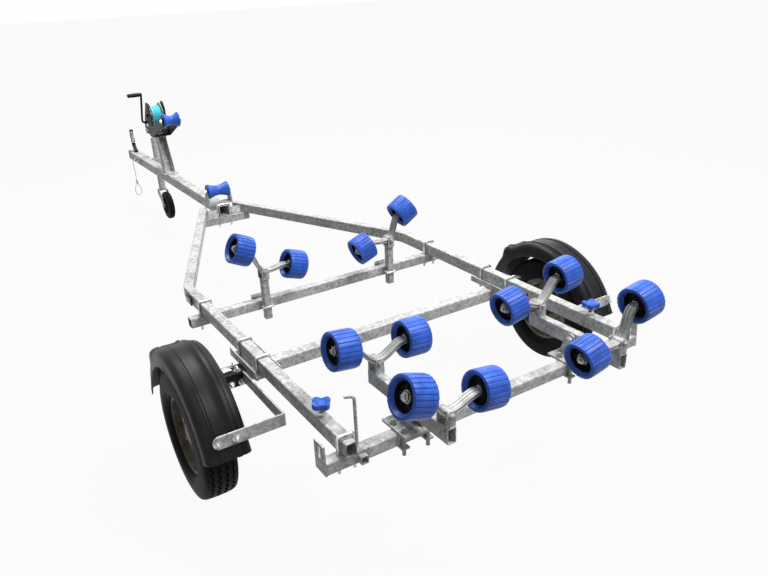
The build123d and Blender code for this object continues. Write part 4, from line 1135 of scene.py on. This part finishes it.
def guard_section(flare, swell):
    """Half of the guard's outside across the wheel, as (across, radius) from the lip in."""
    half = GUARD_WIDTH / 2
    top = GUARD_RADIUS + flare + swell
    lip = GUARD_RADIUS + flare - GUARD_VALANCE
    points = [(half + 2 * MM, lip), (half + 3 * MM, lip + 3 * MM),
              (half + 1 * MM, lip + 6 * MM), (half - 1 * MM, top - 28 * MM)]
    for step in range(1, 7):
        turn = math.radians(90 * step / 7)
        points.append((
            half - 23 * MM + 22 * MM * math.cos(turn), top - 24 * MM + 22 * MM * math.sin(turn),
        ))
    return points


def guard_crown(top):
    """The crown from the right shoulder to the left: a fine groove and a broad sunken band."""
    half = GUARD_WIDTH / 2
    # Shares of the half width, from the inner side out, and steps up or down in mm.
    steps = [
        (0.66, -1.4), (0.50, -0.2), (0.46, -3.6), (0.40, -3.8), (0.36, -1.2), (0.0, -2.4),
        (-0.28, -1.6), (-0.35, 1.6), (-0.43, 2.4), (-0.50, 1.8), (-0.53, -2.8), (-0.59, -3.0),
        (-0.62, -0.8), (-0.69, -1.8),
    ]
    return [(share * half, top + rise * MM) for share, rise in steps]


def guard_shell(centre, side):
    """The moulded guard as a thin shell swept round the wheel; side is +1 on the right."""
    count = 72
    rings = []
    for i in range(count + 1):
        angle = -GUARD_FRONT + (GUARD_FRONT + GUARD_REAR) * i / count
        # Both ends turn outwards: the front one over 13 degrees, the rear one over 7.
        near = max(0.0, 1 - (angle + GUARD_FRONT) / math.radians(13))
        tail = max(0.0, 1 - (GUARD_REAR - angle) / math.radians(7))
        flare = 13 * MM * near ** 1.6 + 6 * MM * tail ** 2
        swell = sum(
            rise * math.exp(-((angle - place) / spread) ** 2) for rise, place, spread in GUARD_HUMPS
        )
        half_outline = guard_section(flare, swell)
        crown = [(side * x, r) for x, r in guard_crown(GUARD_RADIUS + flare + swell)]
        if side < 0:
            crown.reverse()
        outline = half_outline + crown + [(-x, r) for x, r in reversed(half_outline)]
        rings.append([
            (centre.x + x, centre.y - r * math.sin(angle), centre.z + r * math.cos(angle))
            for x, r in outline
        ])
    return ring_mesh("guard", rings, closed_ring=False, capped=False)


class TRAILER_OT_mudguards(PieceOperator, bpy.types.Operator):
    """Moulded black mudguards"""

    bl_idname = "trailer.mudguards"
    bl_label = "Mudguards"

    def execute(self, context):
        wheel = Vector(joint_of["wheel_left"]["pos_m"])
        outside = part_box("mudguards")[1].x
        parts = []
        for side in (-1, 1):
            x = side * (outside - GUARD_WIDTH / 2)
            shell = guard_shell(Vector((x, wheel.y, wheel.z - GUARD_DROP)), side)
            holder = linked("holder", shell)
            wall = holder.modifiers.new("wall", "SOLIDIFY")
            wall.thickness = GUARD_WALL
            wall.offset = -1
            wall.use_rim = True
            soften = holder.modifiers.new("soften", "BEVEL")
            soften.width = 1 * MM
            soften.segments = 2
            soften.limit_method = "ANGLE"
            soften.angle_limit = math.radians(60)
            parts.append(painted(baked(holder), "black_plastic"))
        guards = joined("guards", parts)
        piece("moulded_mudguards", guards, "chassis", 40, ["mudguards"])
        return {"FINISHED"}


# ---- hand knobs ----
KNOB_LOBES = 4
KNOB_HEIGHT = 20 * MM
KNOB_WAIST = 23 * MM
LOBE_REACH = 9.5 * MM
LOBE_RISE = 3.5 * MM
# How far each knob was last turned, left and right.
KNOB_TURNS = {-1: math.radians(-13), 1: math.radians(36)}


def knob_head(centre, mirror):
    """A hand knob with four raised lobes round a round, sunken cap."""
    # Rows of (height share, size share, how far the row keeps the lobes).
    rows = [
        (0.0, 0.72, 0.7), (0.04, 0.88, 1.0), (0.22, 0.97, 1.0), (0.75, 1.0, 1.0), (0.92, 0.96, 1.0),
        (1.0, 0.88, 1.0), (0.98, 0.78, 0.9), (0.84, 0.62, 0.3), (0.80, 0.56, 0.0),
        (0.90, 0.50, 0.0), (0.93, 0.40, 0.0), (0.94, 0.2, 0.0), (0.94, 0.01, 0.0),
    ]
    count = 72
    rings = []
    for level, size, lobed in rows:
        ring = []
        for i in range(count):
            turn = TURN * i / count
            wave = 0.5 + 0.5 * math.cos(KNOB_LOBES * (turn - KNOB_TURNS[mirror]))
            reach = LOBE_REACH * wave ** 0.9 * lobed + 2 * MM * (1 - lobed)
            radius = (KNOB_WAIST + reach) * size
            # The rows of the top sink between the lobes.
            lift = LOBE_RISE * (wave * lobed - 1) if level > 0.7 else 0.0
            ring.append((
                centre.x + mirror * radius * math.cos(turn), centre.y + radius * math.sin(turn),
                centre.z + level * KNOB_HEIGHT + lift,
            ))
        rings.append(ring)
    return merged(ring_mesh("knob", rings), 1e-5)


class TRAILER_OT_hand_knobs(PieceOperator, bpy.types.Operator):
    """Hand knobs of the sliding tubes, with their screws and welded nuts"""

    bl_idname = "trailer.hand_knobs"
    bl_label = "Hand knobs"

    def execute(self, context):
        low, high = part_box("slide_knobs")
        tube_low, tube_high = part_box("light_slide_right")
        rail_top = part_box("side_rail_right")[1].z
        x = (tube_low.x + tube_high.x) / 2
        y = (low.y + high.y) / 2
        under = high.z - KNOB_HEIGHT - 1 * MM
        heads, screws = [], []
        for side in (-1, 1):
            heads.append(painted(knob_head(Vector((side * x, y, under)), side), "blue_plastic"))
            up = axis_frame((side * x, y, rail_top), (0, 0, 1), (0, 1, 0))
            nut = hexagon_nut("nut", 14 * MM, 12 * MM)
            screw = bolt_end("screw", 6.5 * MM, under - rail_top + 2 * MM)
            screws += [transformed(painted(data, "plated"), up) for data in (nut, screw)]
        knobs = joined("knobs", heads)
        piece("lobed_knobs", knobs, "chassis", 40, ["slide_knobs"])
        fittings = joined("screws", screws)
        piece("knob_screws", fittings, "chassis", 30, ["slide_knobs"])
        return {"FINISHED"}


# ---- keel and bow rollers ----
# Radius of each roller's waist, and how far the nuts of its pin sit from its middle.
WAISTED_ROLLERS = {"keel_roller": (28 * MM, 72 * MM), "bow_roller": (26 * MM, 60 * MM)}
PIN_BORE = 8.3 * MM


def waisted(name, half, end, waist, bore):
    """A smooth hourglass roller along local X with thick rounded lips."""
    profile = [(-half, bore), (-half, 0.62 * end), (-half + 2 * MM, 0.66 * end),
               (-half + 2 * MM, 0.84 * end), (-half, 0.87 * end), (-half, end - 5 * MM),
               (-half + 1.4 * MM, end - 1.6 * MM), (-half + 4.5 * MM, end)]
    count = 22
    flat = 0.82 * half
    for i in range(count + 1):
        x = -flat + 2 * flat * i / count
        profile.append((x, waist + (end - 1 * MM - waist) * abs(x / flat) ** 1.7))
    profile += [(-x, r) for x, r in reversed(profile[:8])]
    return lathe(name, profile, 56)


class TRAILER_OT_waisted_rollers(PieceOperator, bpy.types.Operator):
    """Keel roller and bow roller, with the nuts of their pins"""

    bl_idname = "trailer.waisted_rollers"
    bl_label = "Keel and bow rollers"

    def execute(self, context):
        nuts = []
        for body, (waist, reach) in WAISTED_ROLLERS.items():
            low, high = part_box(body)
            half, end = (high.x - low.x) / 2, (high.z - low.z) / 2
            roller = painted(waisted(body, half, end, waist, PIN_BORE), "blue_plastic")
            roller = transformed(roller, joint_frame(body))
            piece(f"moulded_{body}", roller, body, 30, [body])
            place = Vector(joint_of[body]["pos_m"])
            for side in (-1, 1):
                out = axis_frame(place + Vector((side * reach, 0, 0)), (side, 0, 0))
                washer = disc("washer", 15 * MM, 0, 1.8 * MM)
                nut = moved(hexagon_nut("nut", 11.5 * MM, 8 * MM), 1.8 * MM)
                nuts += [transformed(painted(data, "plated"), out) for data in (washer, nut)]
        piece("roller_pin_nuts", joined("nuts", nuts), "chassis", 30)
        return {"FINISHED"}


# ---- winch ----
STRAP_HALF = 29.5 * MM
# Radius of the strap's first layer and how much each layer adds, in mm.
STRAP_CORE = 24.2
STRAP_LAYER = 2.3
GEAR_RADIUS = 62 * MM
GEAR_TEETH = 48
GEAR_STATION = -42 * MM
CRANK_STATION = -75.5 * MM
CRANK_BEND = 26 * MM
CRANK_RADIUS = 6.8 * MM
GRIP_RIBS = 9
# How far the winch's side plates reach, and where its pawl lies.
WINCH_SIDE = 52 * MM
PAWL_STATION = -58 * MM


def tube_along(name, points, radius):
    """A round bar along points, with its ends closed."""
    rings = []
    across = None
    for i, point in enumerate(points):
        ahead = (points[min(i + 1, len(points) - 1)] - points[max(i - 1, 0)]).normalized()
        if across is None:
            across = ahead.orthogonal().normalized()
        across = (across - ahead * across.dot(ahead)).normalized()
        other = ahead.cross(across)
        rings.append([
            point + across * (u * radius) + other * (v * radius)
            for u, v in circle_points(1.0, 12)
        ])
    return ring_mesh(name, rings)


def gear_disc(name, radius, teeth, thickness):
    """A toothed plate along local X."""
    outline = []
    for i in range(teeth):
        for part, reach in ((0.0, 0.93), (0.25, 1.0), (0.5, 1.0), (0.75, 0.93)):
            turn = TURN * (i + part) / teeth
            outline.append((radius * reach * math.cos(turn), radius * reach * math.sin(turn)))
    return prism(name, outline, thickness)


class TRAILER_OT_winch(PieceOperator, bpy.types.Operator):
    """Wound strap, gear, bent crank with a ribbed grip, and the winch's bolts"""

    bl_idname = "trailer.winch"
    bl_label = "Winch"

    def execute(self, context):
        self.add_strap()
        self.add_crank()
        self.add_bolts()
        return {"FINISHED"}

    def add_strap(self):
        """The strap and the gear on the drum."""
        drum = joint_frame("winch_drum")
        half = STRAP_HALF
        # A spiral's worn layers show as steps on both sides of the wound strap.
        side = [
            (half - 1.2 * MM * (i % 2), (STRAP_CORE + STRAP_LAYER * i) * MM) for i in range(14)
        ]
        crown = [(half - 1.2 * MM, 57.2 * MM), (0.5 * half, 58 * MM), (0, 57.4 * MM)]
        profile = side + crown + [(-x, r) for x, r in reversed(side + crown[:2])]
        strap = transformed(painted(lathe("strap", profile, 64), "strap_webbing"), drum)
        piece("wound_strap", strap, "winch_drum", 40, ["winch_strap"])
        gear = moved(gear_disc("gear", GEAR_RADIUS, GEAR_TEETH, 4 * MM), GEAR_STATION)
        gear = transformed(painted(gear, "plated"), drum)
        piece("drum_gear", gear, "winch_drum", 30)

    def add_crank(self):
        """The bent bar from the winch's middle to its grip, and the grip."""
        hub = Vector(joint_of["winch_crank"]["pos_m"])
        low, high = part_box("winch_grip")
        knob = Vector((high.x, (low.y + high.y) / 2, (low.z + high.z) / 2))
        bend = Vector((CRANK_STATION, hub.y, hub.z))
        top = Vector((CRANK_STATION, knob.y, knob.z))
        along = (top - bend).normalized()
        out = Vector((-1, 0, 0))
        line = [hub + Vector((50 * MM, 0, 0)), hub + Vector((-40 * MM, 0, 0))]
        for i in range(7):
            t = i / 6
            line.append(bend - out * (CRANK_BEND * (1 - t) ** 2) + along * (CRANK_BEND * t**2))
        line += [top - along * 40 * MM, top - along * 8 * MM, top + along * 6 * MM]
        bar = painted(tube_along("bar", line, CRANK_RADIUS), "black_steel")
        eye = painted(disc("eye", 10 * MM, -4 * MM, 3.5 * MM), "black_steel")
        crank = joined("crank", [bar, transformed(eye, axis_frame(top, (1, 0, 0)))])
        piece("bent_crank", crank, "winch_crank", 40, ["winch_crank"])
        grip = self.ribbed_grip(high.x - low.x, (high.z - low.z) / 2)
        grip = transformed(painted(grip, "black_plastic"), axis_frame(knob, (-1, 0, 0)))
        piece("ribbed_grip", grip, "winch_crank", 30, ["winch_grip"])

    def ribbed_grip(self, length, radius):
        """A slightly bulging grip along local X with ribs round it."""
        profile = [(0, 0), (0, 0.72 * radius), (3 * MM, 0.84 * radius)]
        step = (length - 14 * MM) / GRIP_RIBS
        for i in range(GRIP_RIBS):
            x = 5 * MM + step * i
            crown = 0.93 + 0.07 * math.sin(math.pi * i / (GRIP_RIBS - 1))
            profile += [
                (x, crown * radius), (x + 0.62 * step, crown * radius),
                (x + 0.7 * step, (crown - 0.09) * radius),
                (x + 0.92 * step, (crown - 0.09) * radius),
            ]
        profile += [
            (length - 8 * MM, 0.97 * radius), (length - 3 * MM, 0.95 * radius),
            (length, 0.7 * radius), (length, 0),
        ]
        return lathe("grip", profile, 28)

    def add_bolts(self):
        """The bolts of the winch's frame, and its pawl."""
        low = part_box("winch_frame")[0]
        drum = Vector(joint_of["winch_drum"]["pos_m"])
        crank = Vector(joint_of["winch_crank"]["pos_m"])
        places = []
        for side in (-1, 1):
            x = side * WINCH_SIDE
            places += [
                ((x, drum.y - 52 * MM, low.z + 34 * MM), (side, 0, 0)),
                ((x, drum.y + 40 * MM, low.z + 24 * MM), (side, 0, 0)),
                ((x, crank.y - 20 * MM, crank.z - 40 * MM), (side, 0, 0)),
            ]
        for x, y in ((-22, -30), (22, -30), (-22, 40), (22, 40)):
            places.append(((x * MM, drum.y + y * MM, low.z + 5 * MM), (0, 0, 1)))
        heads = at_points(places, hexagon_nut("head", 8.5 * MM, 5.5 * MM), "plated")
        piece("winch_bolts", heads, "chassis", 30)
        outline = [
            (-34 * MM, 6 * MM), (-8 * MM, 12 * MM), (14 * MM, 6 * MM), (16 * MM, -6 * MM),
            (-6 * MM, -9 * MM), (-36 * MM, -2 * MM),
        ]
        pawl = prism("pawl", outline, 5 * MM, 1 * MM)
        pawl = moved(pawl, PAWL_STATION, drum.y + 30 * MM, drum.z - 64 * MM)
        piece("ratchet_pawl", painted(pawl, "plated"), "chassis", 30)


# ---- coupling ----
# The holes' places ahead of the coupling's rear edge, and its plate's top above the drawbar.
COUPLING_HOLES = (28.5 * MM, 108.5 * MM, 163.5 * MM)
COUPLING_PLATE = 4.3 * MM
HOLE_RADIUS = 6.5 * MM
COUPLING_BOLT_INSET = 30 * MM
COUPLING_BOLT_PITCH = 80 * MM
LEVER_RIDGES = 9
LEVER_FACE = 43.8 * MM


class TRAILER_OT_coupling(PieceOperator, bpy.types.Operator):
    """Bolts, holes with painted shade in them, and the lever's gripping ridges on the coupling"""

    bl_idname = "trailer.coupling"
    bl_label = "Coupling fittings"

    def execute(self, context):
        low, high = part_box("coupling_body")
        bar_low, bar_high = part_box("drawbar")
        holes = []
        for ahead in COUPLING_HOLES:
            rim = lathe("rim", [
                (0, HOLE_RADIUS), (0.9 * MM, HOLE_RADIUS + 0.7 * MM),
                (0.9 * MM, HOLE_RADIUS + 2.5 * MM), (0, HOLE_RADIUS + 3.5 * MM),
            ], 24)
            # Painted shade: a thin black disc at the top of each hole stands for the shade inside
            # it, with the black plastic finish for its colour.
            dark = disc("dark", HOLE_RADIUS, 0, 0.3 * MM)
            centre = (0, low.y + ahead, bar_high.z + COUPLING_PLATE)
            place = axis_frame(centre, (0, 0, 1), (0, 1, 0))
            holes += [transformed(painted(rim, "galvanised_fine"), place),
                      transformed(painted(dark, "black_plastic"), place)]
        piece("coupling_holes", joined("holes", holes), "chassis", 30)
        front = bar_high.y - COUPLING_BOLT_INSET
        middle = (bar_low.z + bar_high.z) / 2
        ends = [
            ((way * high.x, y, middle), (way, 0, 0))
            for y in (front - COUPLING_BOLT_PITCH, front) for way in (-1, 1)
        ]
        threads = at_points(ends, bolt_end("thread", 6 * MM, 9 * MM), "plated")
        piece("coupling_bolt_ends", threads, "chassis", 30)
        low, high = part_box("coupling_lever")
        ridges = [
            ((0, low.y + LEVER_FACE, high.z - (14 + 10 * i) * MM), (0, -1, 0))
            for i in range(LEVER_RIDGES)
        ]
        bar = prism("ridge", rectangle(10 * MM, 1.6 * MM), 3 * MM, 0.6 * MM, 1)
        bars = at_points(ridges, bar, "plated")
        piece("lever_ridges", bars, "coupling_lever", 30)
        return {"FINISHED"}


# ---- jockey wheel ----
JOCKEY_HALF = 25 * MM


class TRAILER_OT_jockey_wheel(PieceOperator, bpy.types.Operator):
    """Solid rubber jockey wheel on a black core"""

    bl_idname = "trailer.jockey_wheel"
    bl_label = "Jockey wheel"

    def execute(self, context):
        low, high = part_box("jockey_wheel")
        radius = (high.z - low.z) / 2
        half = JOCKEY_HALF
        side = [
            (half - 9 * MM, 62 * MM), (half - 4 * MM, 64 * MM), (half - 2 * MM, 70 * MM),
            (half - 3 * MM, 82 * MM), (half - 5 * MM, 92 * MM), (half - 10 * MM, 98.4 * MM),
            (half - 14 * MM, radius), (half - 16 * MM, radius), (half - 17 * MM, radius - 2 * MM),
            (half - 19 * MM, radius - 2 * MM), (half - 20 * MM, radius),
        ]
        tyre = painted(lathe("tyre", both_faces(side), 72), "tyre_rubber")
        core_side = [
            (half - 8.6 * MM, 61.9 * MM), (half - 3.6 * MM, 60 * MM), (half - 4.6 * MM, 56 * MM),
            (half - 18 * MM, 52 * MM), (half - 18 * MM, 24 * MM), (half - 8 * MM, 20 * MM),
            (half + 1 * MM, 18 * MM), (half + 1 * MM, 8.3 * MM),
        ]
        core = painted(lathe("core", both_faces(core_side), 48), "hub_plastic")
        spokes = [
            [(21 * MM, end * 4 * MM), (54 * MM, end * 4 * MM), (56 * MM, end * 17 * MM),
             (20 * MM, end * 17 * MM)]
            for end in (-1, 1)
        ]
        body = joined("jockey", [tyre, core, web_ring(spokes, 5 * MM, 0.6 * MM)])
        body = transformed(body, joint_frame("jockey_wheel"))
        piece("jockey_tyre", body, "jockey_wheel", 30, ["jockey_wheel"])
        return {"FINISHED"}


# ---- small fasteners ----
# Places from the trailer's middle line, to one side.
STAY_BOLTS = (763 * MM, 822 * MM)
STAY_END = 624 * MM
UNIT_BOLTS = (616 * MM, 654 * MM)
UNIT_STUDS = 622 * MM
UNIT_PAD = 655 * MM
LIP_MIDDLE = 501.8 * MM
REFLECTOR_FACE = 574 * MM
# Sizes and places on the suspension and the rails.
STUD_STEP = 16 * MM
UNIT_MIDDLE = 23 * MM
UNIT_TOP = 28 * MM
PLATE_FOOT = 46 * MM
LIP_HEIGHT = 24 * MM
LIP_THICKNESS = 4 * MM
REFLECTOR_STATION = -800 * MM
REFLECTOR_HEIGHT = 396 * MM


class TRAILER_OT_fasteners(PieceOperator, bpy.types.Operator):
    """Mudguard bolts, threaded ends and the side reflectors"""

    bl_idname = "trailer.fasteners"
    bl_label = "Fasteners and reflectors"

    def execute(self, context):
        low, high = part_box("mudguard_stays")
        z = (low.z + high.z) / 2
        places = []
        for side in (-1, 1):
            places += [((side * x, low.y, z), (0, -1, 0)) for x in STAY_BOLTS]
            places.append(((side * STAY_END, low.y + 6 * MM, z), (0, 1, 0)))
        washer = disc("washer", 12 * MM, 0, 1.6 * MM)
        nut = moved(hexagon_nut("nut", 9 * MM, 7 * MM), 1.6 * MM)
        end = moved(bolt_end("end", 5 * MM, 8 * MM), 8.6 * MM)
        bolt = joined("bolt", [washer, nut, end])
        bolts = at_points(places, bolt, "plated")
        piece("mudguard_bolts", bolts, "chassis", 30)
        self.add_suspension_fittings(bolt)
        self.add_plate_lips()
        self.add_reflectors()
        return {"FINISHED"}

    def add_reflectors(self):
        """An amber lens on a black back on each rail."""
        lenses = []
        for side in (-1, 1):
            back = prism("back", rectangle(33 * MM, 17 * MM), 3 * MM, 1 * MM)
            lens = prism("lens", rectangle(30 * MM, 14 * MM), 3 * MM, 1.2 * MM, 3)
            lens = moved(lens, 2.5 * MM)
            place = (side * REFLECTOR_FACE, REFLECTOR_STATION, REFLECTOR_HEIGHT)
            out = axis_frame(place, (side, 0, 0))
            lenses += [transformed(painted(back, "black_plastic"), out),
                       transformed(painted(lens, "reflector_lens"), out)]
        piece("side_reflectors", joined("lenses", lenses), "chassis", 30)

    def add_suspension_fittings(self, bolt):
        """Bolts and studs round the suspension units, and a pad on top of each."""
        low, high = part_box("axle_beam")
        middle = (low.y + high.y) / 2
        centre = low.z + UNIT_MIDDLE
        places, pads = [], []
        for side in (-1, 1):
            for x in UNIT_BOLTS:
                places.append(((side * x, middle - 33 * MM, centre - 9 * MM), (0, -1, 0)))
            for y in (middle - STUD_STEP, middle + STUD_STEP):
                places.append(((side * UNIT_STUDS, y, centre + UNIT_TOP), (0, 0, 1)))
            pad = prism("pad", rectangle(15 * MM, 16 * MM), 9 * MM, 1 * MM)
            on = axis_frame((side * UNIT_PAD, middle, centre + UNIT_TOP), (0, 0, 1))
            pads.append(transformed(painted(pad, "plated"), on))
        bolts = at_points(places, bolt, "plated")
        piece("suspension_bolts", bolts, "chassis", 30)
        piece("suspension_pads", joined("pads", pads), "chassis", 30)

    def add_plate_lips(self):
        """The inner upturned edges of the plates between rails and axle."""
        low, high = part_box("axle_beam")
        foot = low.z + PLATE_FOOT
        outline = [
            (low.y, foot), (high.y, foot), (high.y, foot + LIP_HEIGHT), (low.y, foot + LIP_HEIGHT),
        ]
        lips = []
        for side in (-1, 1):
            lip = prism("lip", outline, LIP_THICKNESS, 0.8 * MM)
            lip = moved(lip, side * LIP_MIDDLE - LIP_THICKNESS / 2)
            lips.append(painted(lip, "galvanised"))
        piece("plate_lips", joined("lips", lips), "chassis", 30)


# ---- breakaway cable ----
CABLE_DIAMETER = 4.8 * MM
# Where the cable leaves the coupling, from the middle line and along the trailer.
CABLE_EXIT = (-32.3 * MM, 2129.5 * MM)


class TRAILER_OT_cable(PieceOperator, bpy.types.Operator):
    """Breakaway cable hanging from the coupling in a closed loop"""

    bl_idname = "trailer.cable"
    bl_label = "Breakaway cable"

    def execute(self, context):
        start = Vector((*CABLE_EXIT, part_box("breakaway_cable")[1].z))
        # Steps across, steps forwards and heights of the route, in mm.
        route = [
            (0.0, 0.0, 380.0), (-1.5, 1.0, 334.0), (1.5, -1.0, 284.0), (0.5, 1.0, 238.0),
            (-3.0, 3.5, 196.0), (-16.0, 4.0, 165.0), (-25.0, 2.0, 134.0), (-16.0, 0.0, 106.0),
            (4.0, -1.0, 98.0), (22.0, -2.0, 112.0), (26.0, -3.0, 142.0), (14.0, -4.0, 172.0),
            (3.0, -3.6, 198.0), (1.0, -3.0, 222.0),
        ]
        line = bpy.data.curves.new("cable", "CURVE")
        line.dimensions = "3D"
        line.bevel_depth = CABLE_DIAMETER / 2
        line.bevel_resolution = 3
        line.resolution_u = 10
        line.use_fill_caps = True
        spline = line.splines.new("NURBS")
        spline.points.add(len(route) - 1)
        for point, (across, forwards, height) in zip(spline.points, route):
            point.co = (start.x + across * MM, start.y + forwards * MM, height * MM, 1)
        spline.order_u = 3
        spline.use_endpoint_u = True
        line.materials.append(finish("wire_rope"))
        cable = linked("hanging_cable", line)
        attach(cable, "chassis")
        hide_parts("breakaway_cable")
        return {"FINISHED"}


# ---- stage ----
# How much of the floor's own white the camera sees over its shaded colour.
FLOOR_GLOW = 0.95
FLOOR_HALF = 60.0
SENSOR_WIDTH = 36.0
# Name, place, aim, size and power.
LAMPS = (
    ("key", (1.7, -3.2, 4.6), (0, -0.9, 0.4), 2.2, 200),
    ("top", (0.5, 1.2, 5.2), (0, 0.6, 0.4), 2.6, 225),
    ("rim", (3.8, 2.5, 2.6), (0, 0, 0.5), 2.0, 30),
)


def seen_directly(graph):
    """1 for what the camera sees, also in a mirror or through glass, and otherwise 0."""
    path = graph.node("ShaderNodeLightPath").socket.node
    names = ("Is Camera Ray", "Is Glossy Ray", "Is Transmission Ray")
    camera, glossy, through = (Wire(graph, path.outputs[name]) for name in names)
    return (camera + glossy + through).math("MINIMUM", 1.0)


class TRAILER_OT_stage(PieceOperator, bpy.types.Operator):
    """Pale floor, soft lamps and the camera"""

    bl_idname = "trailer.stage"
    bl_label = "Stage"

    def execute(self, context):
        self.add_camera(context)
        self.add_floor(context)
        self.add_lamps()
        self.add_world(context)
        context.scene.view_settings.view_transform = "Standard"
        return {"FINISHED"}

    def add_camera(self, context):
        """The camera, turned by heading, pitch and roll."""
        setting = context.scene.trailer_stage
        camera = linked("camera", bpy.data.cameras.new("camera"))
        heading, pitch = setting.heading, setting.pitch
        ahead = Vector((
            math.sin(heading) * math.cos(pitch), math.cos(heading) * math.cos(pitch),
            -math.sin(pitch),
        ))
        level = ahead.to_track_quat("-Z", "Y").to_matrix().to_4x4()
        roll = Matrix.Rotation(setting.roll, 4, "Z")
        camera.matrix_world = Matrix.Translation(setting.camera_place) @ level @ roll
        camera.data.lens = setting.lens
        camera.data.sensor_width = SENSOR_WIDTH
        camera.data.shift_x = setting.shift_x
        camera.data.shift_y = setting.shift_y
        camera.data.clip_end = 100
        context.scene.camera = camera

    def add_floor(self, context):
        """A wide floor that shows nearly white and still takes shadows."""
        data = bpy.data.meshes.new("floor")
        corners = [(x, y, 0) for x, y in rectangle(FLOOR_HALF, FLOOR_HALF)]
        data.from_pydata(corners, [], [(0, 1, 2, 3)])
        floor = linked("floor", data)
        material = bpy.data.materials.new("floor")
        material.use_nodes = True
        graph = Graph(material.node_tree)
        colour = (*context.scene.trailer_stage.floor_colour, 1)
        matt = graph.node("ShaderNodeBsdfDiffuse", None, {"Color": colour})
        white = graph.node("ShaderNodeEmission", None, {"Color": (1, 1, 1, 1), "Strength": 1.0})
        share = seen_directly(graph) * FLOOR_GLOW
        both = graph.node("ShaderNodeMixShader", None, {0: share, 1: matt, 2: white})
        graph.node("ShaderNodeOutputMaterial", None, {0: both})
        data.materials.append(material)

    def add_lamps(self):
        """Soft round lamps, each turned to its aim."""
        for name, place, aim, size, power in LAMPS:
            data = bpy.data.lights.new(name, "AREA")
            data.shape = "DISK"
            data.size = size
            data.energy = power
            lamp = linked(name, data)
            lamp.location = place
            toward = Vector(aim) - Vector(place)
            lamp.rotation_mode = "QUATERNION"
            lamp.rotation_quaternion = toward.to_track_quat("-Z", "Y")

    def add_world(self, context):
        """A studio that lights softly from above and shows white."""
        world = bpy.data.worlds.new("studio")
        world.use_nodes = True
        graph = Graph(world.node_tree)
        place = graph.node("ShaderNodeTexCoord")
        across, _, height = graph.split(place)
        level = height * 0.5 + across * 0.20 + 0.5
        sky = graph.grey(level, (0.42, 0.05), (0.56, 0.16), (0.82, 0.95), (1.0, 1.0))
        soft = graph.node("ShaderNodeBackground", None, {0: sky, 1: 0.42})
        white = graph.node("ShaderNodeBackground", None, {0: (1, 1, 1, 1), 1: 1.0})
        both = graph.node("ShaderNodeMixShader", None, {0: seen_directly(graph), 1: soft, 2: white})
        graph.node("ShaderNodeOutputWorld", None, {0: both})
        context.scene.world = world


class TRAILER_PT_panel(bpy.types.Panel):
    """Lists the trailer's settings and operators"""

    bl_idname = "TRAILER_PT_panel"
    bl_label = "Roller boat trailer"
    bl_space_type = "VIEW_3D"
    bl_region_type = "UI"
    bl_category = "Trailer"

    def draw(self, context):
        for group in GROUPS:
            settings = getattr(context.scene, group)
            for name in settings.bl_rna.properties.keys():
                if name not in ("rna_type", "name"):
                    self.layout.prop(settings, name)
        for operator in OPERATORS:
            self.layout.operator(operator.bl_idname)


GROUPS = {
    "trailer_colours": TrailerColours,
    "trailer_sizes": TrailerSizes,
    "trailer_stage": StageSettings,
}
OPERATORS = [
    TRAILER_OT_stage,
    TRAILER_OT_cable,
    TRAILER_OT_frame_finish,
    TRAILER_OT_ribbed_rollers,
    TRAILER_OT_rocker_arms,
    TRAILER_OT_hand_knobs,
    TRAILER_OT_waisted_rollers,
    TRAILER_OT_winch,
    TRAILER_OT_coupling,
    TRAILER_OT_jockey_wheel,
    TRAILER_OT_fasteners,
    TRAILER_OT_tyres,
    TRAILER_OT_mudguards,
]


def register():
    """Registers the classes and hangs the settings on the scene."""
    for kind in (*GROUPS.values(), *OPERATORS, TRAILER_PT_panel):
        bpy.utils.register_class(kind)
    for name, kind in GROUPS.items():
        setattr(bpy.types.Scene, name, PointerProperty(type=kind))


def unregister():
    """Takes the settings and the classes away again."""
    for name in GROUPS:
        delattr(bpy.types.Scene, name)
    for kind in (TRAILER_PT_panel, *reversed(OPERATORS), *reversed(list(GROUPS.values()))):
        bpy.utils.unregister_class(kind)


def main():
    """Builds everything through the operators."""
    register()
    for operator in OPERATORS:
        group, name = operator.bl_idname.split(".")
        getattr(getattr(bpy.ops, group), name)()


if __name__ == "__main__":
    main()
